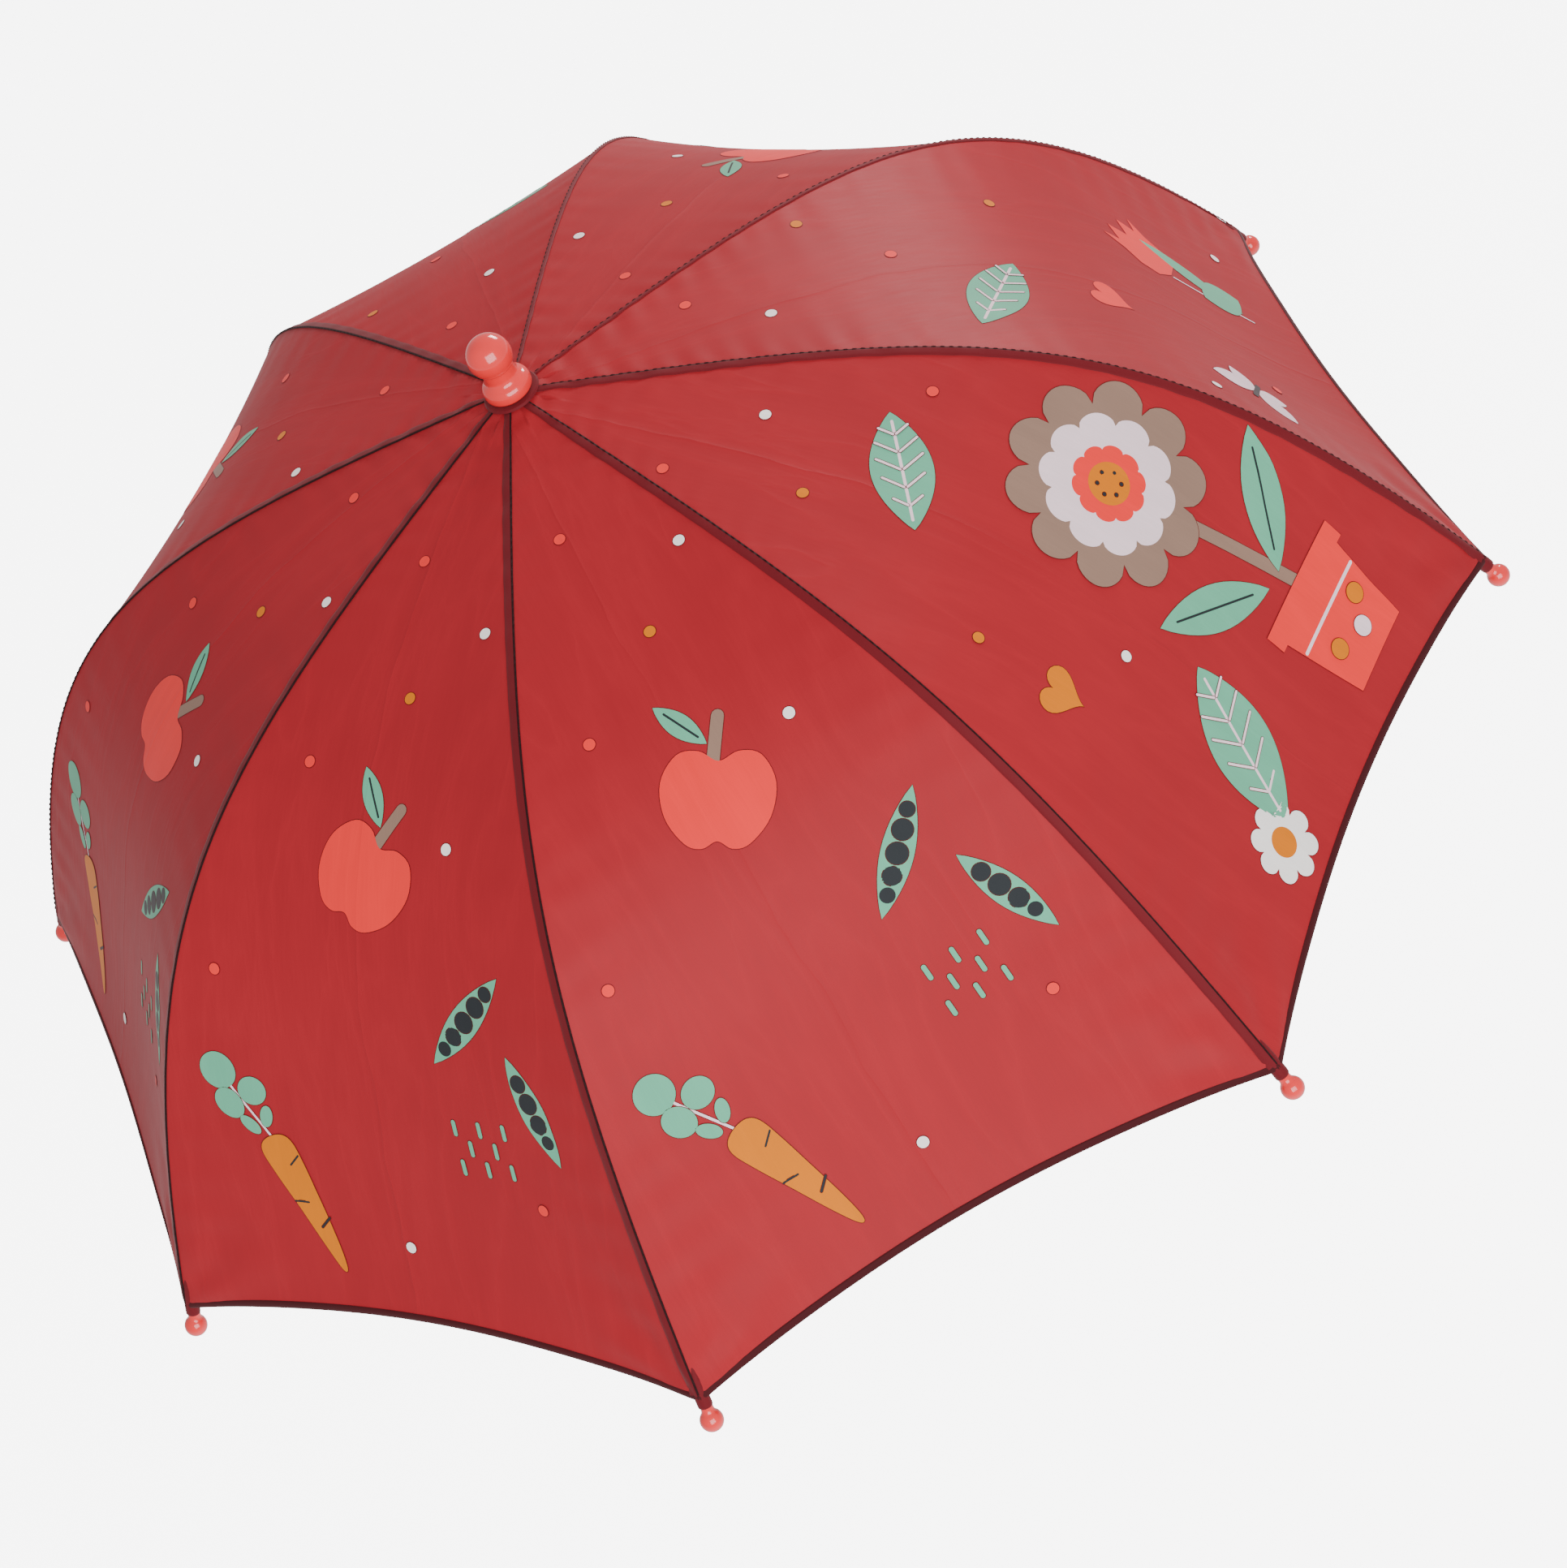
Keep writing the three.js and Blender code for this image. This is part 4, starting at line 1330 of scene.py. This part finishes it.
def make_runner(scene):
    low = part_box("runner")[0]
    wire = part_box("runner_ring_wire")
    wire_z = (wire[0].z + wire[1].z) / 2
    bore, sleeve, flange = 4.9, 8, 12
    foot = [(bore, 0), (7.2, 0), (sleeve, 0.8), (sleeve, 2.2), (7.5, 2.8), (7.5, 3.6), (sleeve, 4.2)]
    head = [(sleeve, -6.4), (10, -3.6), (flange, -3.4), (flange, 1.6), (GROOVE[1], 1.6), (GROOVE[1], -0.8)]
    head += [(GROOVE[0], -0.8), (GROOVE[0], 1.6), (sleeve, 2), (bore, 2)]
    outline = in_mm(foot, low.z) + in_mm(head, wire_z) + in_mm(foot[:1], low.z)
    bm = bmesh.new()
    lathe(bm, outline, 72)
    piece = to_object(bm, "runner_sleeve", [FINISHES["black"]])
    cutter = slot_cutter(8.05 * MM, wire_z - 7 * MM, wire_z + 4 * MM)
    window = Matrix.Translation((7 * MM, 0, wire_z - 21 * MM))
    block(cutter, (8 * MM, 3.2 * MM, 18 * MM), turned(CATCH_AZIMUTH) @ window)
    carve(piece, cutter)
    round_edges(piece, 0.25 * MM)
    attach(piece, "runner")
    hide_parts("runner")
    ring_wire("runner_ring", "runner_ring_wire", "runner")


def make_shaft(scene):
    low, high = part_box("shaft")
    inner = 3.7 * MM
    outline = [(inner, low.z), (SHAFT_RADIUS, low.z), (SHAFT_RADIUS, high.z), (inner, high.z)]
    outline.append(outline[0])
    bm = bmesh.new()
    lathe(bm, outline, 56)
    piece = to_object(bm, "shaft_tube", [FINISHES["steel"]])
    cutter = bmesh.new()
    inset = CATCH_MARGIN + CATCH_SLOT / 2
    for z in (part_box("top_catch")[1].z - inset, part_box("bottom_catch")[0].z + inset):
        middle = Matrix.Translation((5 * MM, 0, z))
        block(cutter, (6 * MM, 2.6 * MM, CATCH_SLOT), turned(CATCH_AZIMUTH) @ middle)
    carve(piece, cutter)
    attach(piece, "shaft")
    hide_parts("shaft")
    for name in ("top_catch", "bottom_catch"):
        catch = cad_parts[name]
        catch.data.materials.clear()
        catch.data.materials.append(FINISHES["bright"])


# ---- finial, washer, handle and ferrule ----
def make_finial(scene):
    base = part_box("finial")[0].z
    washer_low, washer_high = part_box("finial_washer")
    foot = [(0, 0), (9.2, 0), (10.2, 0.5), (10.7, 1.6), (10.75, 3.4), (10.4, 5.0), (9.6, 6.2)]
    waist = [(8.6, 7.1), (7.7, 8.2), (7.25, 9.6), (7.2, 11.0)]
    start = -math.degrees(math.acos(7.4 / 9.8))
    ball = arc_points((0, 20.2), 9.8, start, 90, 30)
    ball[-1] = (0, 30.0)
    line = smooth_line(foot[1:] + waist + ball[:2], 5)
    profile = [(0, 0)] + line[:-1] + ball[1:]
    bm = bmesh.new()
    lathe(bm, in_mm(profile, base), 80)
    piece = to_object(bm, "finial_knob", [FINISHES["plastic"]], 60)
    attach(piece, "shaft")
    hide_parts("finial")
    cloth = bmesh.new()
    low, high = washer_low.z, washer_high.z
    inner = SHAFT_RADIUS + 0.3 * MM
    disc = [(inner, high), (10.2 * MM, high), (11.8 * MM, high - 0.35 * MM)]
    disc += [(12.4 * MM, low - 0.1 * MM), (11.8 * MM, low - 0.25 * MM), (inner, low), (inner, high)]
    lathe(cloth, disc, 72)
    lay_flat(cloth, lambda vert: vert.co.xy)
    washer = to_object(cloth, "crown_patch", [FINISHES["seam"]])
    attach(washer, "shaft")
    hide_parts("finial_washer")


def make_handle(scene):
    fittings = scene.fitting_settings
    radius, crook = fittings.handle_radius, fittings.crook_radius
    half, rise = 35 * MM, 12 * MM
    stations = []
    upright = Matrix(((0, 1, 0, 0), (0, 0, -1, 0), (-1, 0, 0, 0), (0, 0, 0, 1)))
    straight = ((half, 0.9), (half - 0.8 * MM, 1), (0.5 * half, 1), (0, 1), (-0.5 * half, 1))
    for z, size in straight:
        stations.append(Matrix.Translation((0, 0, z)) @ upright @ Matrix.Diagonal((1, size, size, 1)))
    steps = 30
    for i in range(steps + 1):
        angle = math.pi * i / steps
        about = Matrix.Translation((0, crook, -half)) @ Matrix.Rotation(angle, 4, "X")
        stations.append(about @ Matrix.Translation((0, -crook, 0)) @ upright)
    last = stations[-1]
    for i in range(9):
        angle = math.pi / 2 * i / 8
        size = max(math.cos(angle), 0.02)
        step = Matrix.Translation((rise + radius * math.sin(angle), 0, 0))
        stations.append(last @ step @ Matrix.Diagonal((1, size, size, 1)))
    bm = bmesh.new()
    sweep(bm, circle(radius, 40), stations)
    piece = to_object(bm, "crook_handle", [FINISHES["plastic"]])
    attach(piece, "shaft")
    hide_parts("handle")
    low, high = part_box("handle_collar")
    inner, outer = SHAFT_RADIUS + 0.3 * MM, 9.4 * MM
    tall = high.z - low.z
    outline = [(inner, 0), (0.97 * outer, 0), (outer, 0.08), (outer, 0.3), (0.93 * outer, 0.36)]
    outline += [(0.93 * outer, 0.44), (outer, 0.5), (0.97 * outer, 0.72), (0.82 * outer, 0.93)]
    outline += [(0.76 * outer, 1), (inner, 1), (inner, 0)]
    bm = bmesh.new()
    lathe(bm, [(r, low.z + share * tall) for r, share in outline], 64)
    ferrule = to_object(bm, "ferrule", [FINISHES["black"]], 30)
    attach(ferrule, "shaft")
    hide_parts("handle_collar")


# ---- stage ----
FLOOR_SIZE = 14.0
BACKDROP_GLOW = 6.0  # added where the camera sees floor or sky directly
FLOOR_GLOW = 0.3
SKY_GLOW = 0.58
AIM = Vector((0.021, -0.0215, 0.239))
CAMERA_DISTANCE = 2.03
CAMERA_AZIMUTH = math.radians(-64.75)
CAMERA_ELEVATION = math.radians(43.7)
ROLL = math.radians(-31.9)


def softbox(name, place, target, size, power, tint=(1, 1, 1)):
    lamp = bpy.data.lights.new(name, "AREA")
    lamp.shape, lamp.size, lamp.size_y = "RECTANGLE", size[0], size[1]
    lamp.energy, lamp.color = power, tint
    piece = bpy.data.objects.new(name, lamp)
    piece.location = place
    piece.rotation_euler = (Vector(target) - Vector(place)).to_track_quat("-Z", "Y").to_euler()
    bpy.context.scene.collection.objects.link(piece)


def make_stage(scene):
    stage = scene.stage_settings
    bm = bmesh.new()
    bmesh.ops.create_grid(bm, x_segments=1, y_segments=1, size=FLOOR_SIZE / 2)
    bmesh.ops.translate(bm, vec=(0, 0, stage.floor_height), verts=bm.verts)
    material, tree, shader = start_material("pale_floor")
    shader.inputs["Base Color"].default_value = (0.92, 0.92, 0.92, 1)
    shader.inputs["Roughness"].default_value = 0.9
    shader.inputs["Emission Color"].default_value = (1, 1, 1, 1)
    seen = node(tree, "LightPath").outputs["Is Camera Ray"]
    glow = maths(tree, "MULTIPLY_ADD", seen, BACKDROP_GLOW, FLOOR_GLOW)
    tree.links.new(glow, shader.inputs["Emission Strength"])
    to_object(bm, "floor", [material])
    world = bpy.data.worlds.new("studio")
    world.use_nodes = True
    tree = world.node_tree
    seen = node(tree, "LightPath").outputs["Is Camera Ray"]
    tree.nodes["Background"].inputs["Color"].default_value = (1, 1, 1, 1)
    glow = maths(tree, "MULTIPLY_ADD", seen, BACKDROP_GLOW, SKY_GLOW)
    tree.links.new(glow, tree.nodes["Background"].inputs["Strength"])
    scene.world = world
    power = stage.key_power
    softbox("key", (1.2, -2.3, 1.6), (0, 0, 0.35), (2.4, 2.0), power)
    softbox("sheen", (0.7, 2.1, 1.3), (0.1, 0.05, 0.4), (0.9, 0.6), 0.5 * power, (1, 0.84, 0.84))
    flat = math.cos(CAMERA_ELEVATION)
    back = Vector((flat * math.cos(CAMERA_AZIMUTH), flat * math.sin(CAMERA_AZIMUTH), 0))
    back.z = math.sin(CAMERA_ELEVATION)
    right = Vector((0, 0, 1)).cross(back).normalized()
    above = back.cross(right)
    side = right * math.cos(ROLL) + above * math.sin(ROLL)
    up = back.cross(side)
    lens = bpy.data.cameras.new("camera")
    lens.lens, lens.sensor_width = stage.lens, 36.0
    camera = bpy.data.objects.new("camera", lens)
    axes = Matrix((side, up, back)).transposed().to_4x4()
    camera.matrix_world = Matrix.Translation(AIM + CAMERA_DISTANCE * back) @ axes
    scene.collection.objects.link(camera)
    scene.camera = camera


# ---- add-on ----
class UMBRELLA_OT_finishes(bpy.types.Operator):
    """Make the cloth, ink, plastic and metal materials"""

    bl_idname = "umbrella.finishes"
    bl_label = "Finishes"

    def execute(self, context):
        make_finishes(context.scene)
        return {"FINISHED"}


class UMBRELLA_OT_stage(bpy.types.Operator):
    """Make the floor, lights and camera"""

    bl_idname = "umbrella.stage"
    bl_label = "Stage"

    def execute(self, context):
        make_stage(context.scene)
        return {"FINISHED"}


class UMBRELLA_OT_ribs(bpy.types.Operator):
    """Make the two rods of each rib"""

    bl_idname = "umbrella.ribs"
    bl_label = "Ribs"

    def execute(self, context):
        make_ribs(context.scene)
        return {"FINISHED"}


class UMBRELLA_OT_canopy(bpy.types.Operator):
    """Make the eight gores of cloth"""

    bl_idname = "umbrella.canopy"
    bl_label = "Canopy"

    def execute(self, context):
        make_canopy(context.scene)
        return {"FINISHED"}


class UMBRELLA_OT_prints(bpy.types.Operator):
    """Make the inks on the gores"""

    bl_idname = "umbrella.prints"
    bl_label = "Prints"

    def execute(self, context):
        make_prints(context.scene)
        return {"FINISHED"}


class UMBRELLA_OT_hem(bpy.types.Operator):
    """Bind the lower edge of each gore"""

    bl_idname = "umbrella.hem"
    bl_label = "Hem"

    def execute(self, context):
        make_hem(context.scene)
        return {"FINISHED"}


class UMBRELLA_OT_seams(bpy.types.Operator):
    """Make the felled seams and their stitches"""

    bl_idname = "umbrella.seams"
    bl_label = "Seams"

    def execute(self, context):
        make_seams(context.scene)
        return {"FINISHED"}


class UMBRELLA_OT_tips(bpy.types.Operator):
    """Make the balls and pockets at the ribs' ends"""

    bl_idname = "umbrella.tips"
    bl_label = "Tips"

    def execute(self, context):
        make_tips(context.scene)
        return {"FINISHED"}


class UMBRELLA_OT_strap(bpy.types.Operator):
    """Make the strap and its snap"""

    bl_idname = "umbrella.strap"
    bl_label = "Closing strap"

    def execute(self, context):
        make_strap(context.scene)
        return {"FINISHED"}


class UMBRELLA_OT_stretchers(bpy.types.Operator):
    """Make the eight channels"""

    bl_idname = "umbrella.stretchers"
    bl_label = "Stretchers"

    def execute(self, context):
        make_stretchers(context.scene)
        return {"FINISHED"}


class UMBRELLA_OT_crown(bpy.types.Operator):
    """Make the slotted crown and its wire"""

    bl_idname = "umbrella.crown"
    bl_label = "Crown"

    def execute(self, context):
        make_crown(context.scene)
        return {"FINISHED"}


class UMBRELLA_OT_runner(bpy.types.Operator):
    """Make the sliding runner and its wire"""

    bl_idname = "umbrella.runner"
    bl_label = "Runner"

    def execute(self, context):
        make_runner(context.scene)
        return {"FINISHED"}


class UMBRELLA_OT_shaft(bpy.types.Operator):
    """Make the tube and finish the catches"""

    bl_idname = "umbrella.shaft"
    bl_label = "Shaft"

    def execute(self, context):
        make_shaft(context.scene)
        return {"FINISHED"}


class UMBRELLA_OT_finial(bpy.types.Operator):
    """Make the knob and the patch under it"""

    bl_idname = "umbrella.finial"
    bl_label = "Finial"

    def execute(self, context):
        make_finial(context.scene)
        return {"FINISHED"}


class UMBRELLA_OT_handle(bpy.types.Operator):
    """Make the crook handle and its ferrule"""

    bl_idname = "umbrella.handle"
    bl_label = "Handle"

    def execute(self, context):
        make_handle(context.scene)
        return {"FINISHED"}


OPERATORS = (
    UMBRELLA_OT_finishes,
    UMBRELLA_OT_stage,
    UMBRELLA_OT_ribs,
    UMBRELLA_OT_canopy,
    UMBRELLA_OT_prints,
    UMBRELLA_OT_hem,
    UMBRELLA_OT_seams,
    UMBRELLA_OT_tips,
    UMBRELLA_OT_strap,
    UMBRELLA_OT_stretchers,
    UMBRELLA_OT_crown,
    UMBRELLA_OT_runner,
    UMBRELLA_OT_shaft,
    UMBRELLA_OT_finial,
    UMBRELLA_OT_handle,
)
SETTINGS = {
    "canopy_settings": CanopySettings,
    "print_settings": PrintSettings,
    "fitting_settings": FittingSettings,
    "stage_settings": StageSettings,
}


class UMBRELLA_PT_panel(bpy.types.Panel):
    """The umbrella's settings and the steps that build it"""

    bl_label = "Umbrella"
    bl_space_type = "VIEW_3D"
    bl_region_type = "UI"
    bl_category = "Umbrella"

    def draw(self, context):
        for made in OPERATORS:
            self.layout.operator(made.bl_idname)
        for key, group in SETTINGS.items():
            box = self.layout.box()
            for field in group.__annotations__:
                box.prop(getattr(context.scene, key), field)


def register():
    for made in (*SETTINGS.values(), *OPERATORS, UMBRELLA_PT_panel):
        bpy.utils.register_class(made)
    for key, group in SETTINGS.items():
        setattr(bpy.types.Scene, key, PointerProperty(type=group))


def unregister():
    for key in SETTINGS:
        delattr(bpy.types.Scene, key)
    for made in (UMBRELLA_PT_panel, *reversed(OPERATORS), *SETTINGS.values()):
        bpy.utils.unregister_class(made)


def main():
    register()
    bpy.ops.umbrella.finishes()
    bpy.ops.umbrella.stage()
    bpy.ops.umbrella.ribs()
    bpy.ops.umbrella.canopy()
    bpy.ops.umbrella.prints()
    bpy.ops.umbrella.hem()
    bpy.ops.umbrella.seams()
    bpy.ops.umbrella.tips()
    bpy.ops.umbrella.strap()
    bpy.ops.umbrella.stretchers()
    bpy.ops.umbrella.crown()
    bpy.ops.umbrella.runner()
    bpy.ops.umbrella.shaft()
    bpy.ops.umbrella.finial()
    bpy.ops.umbrella.handle()


if __name__ == "__main__":
    main()
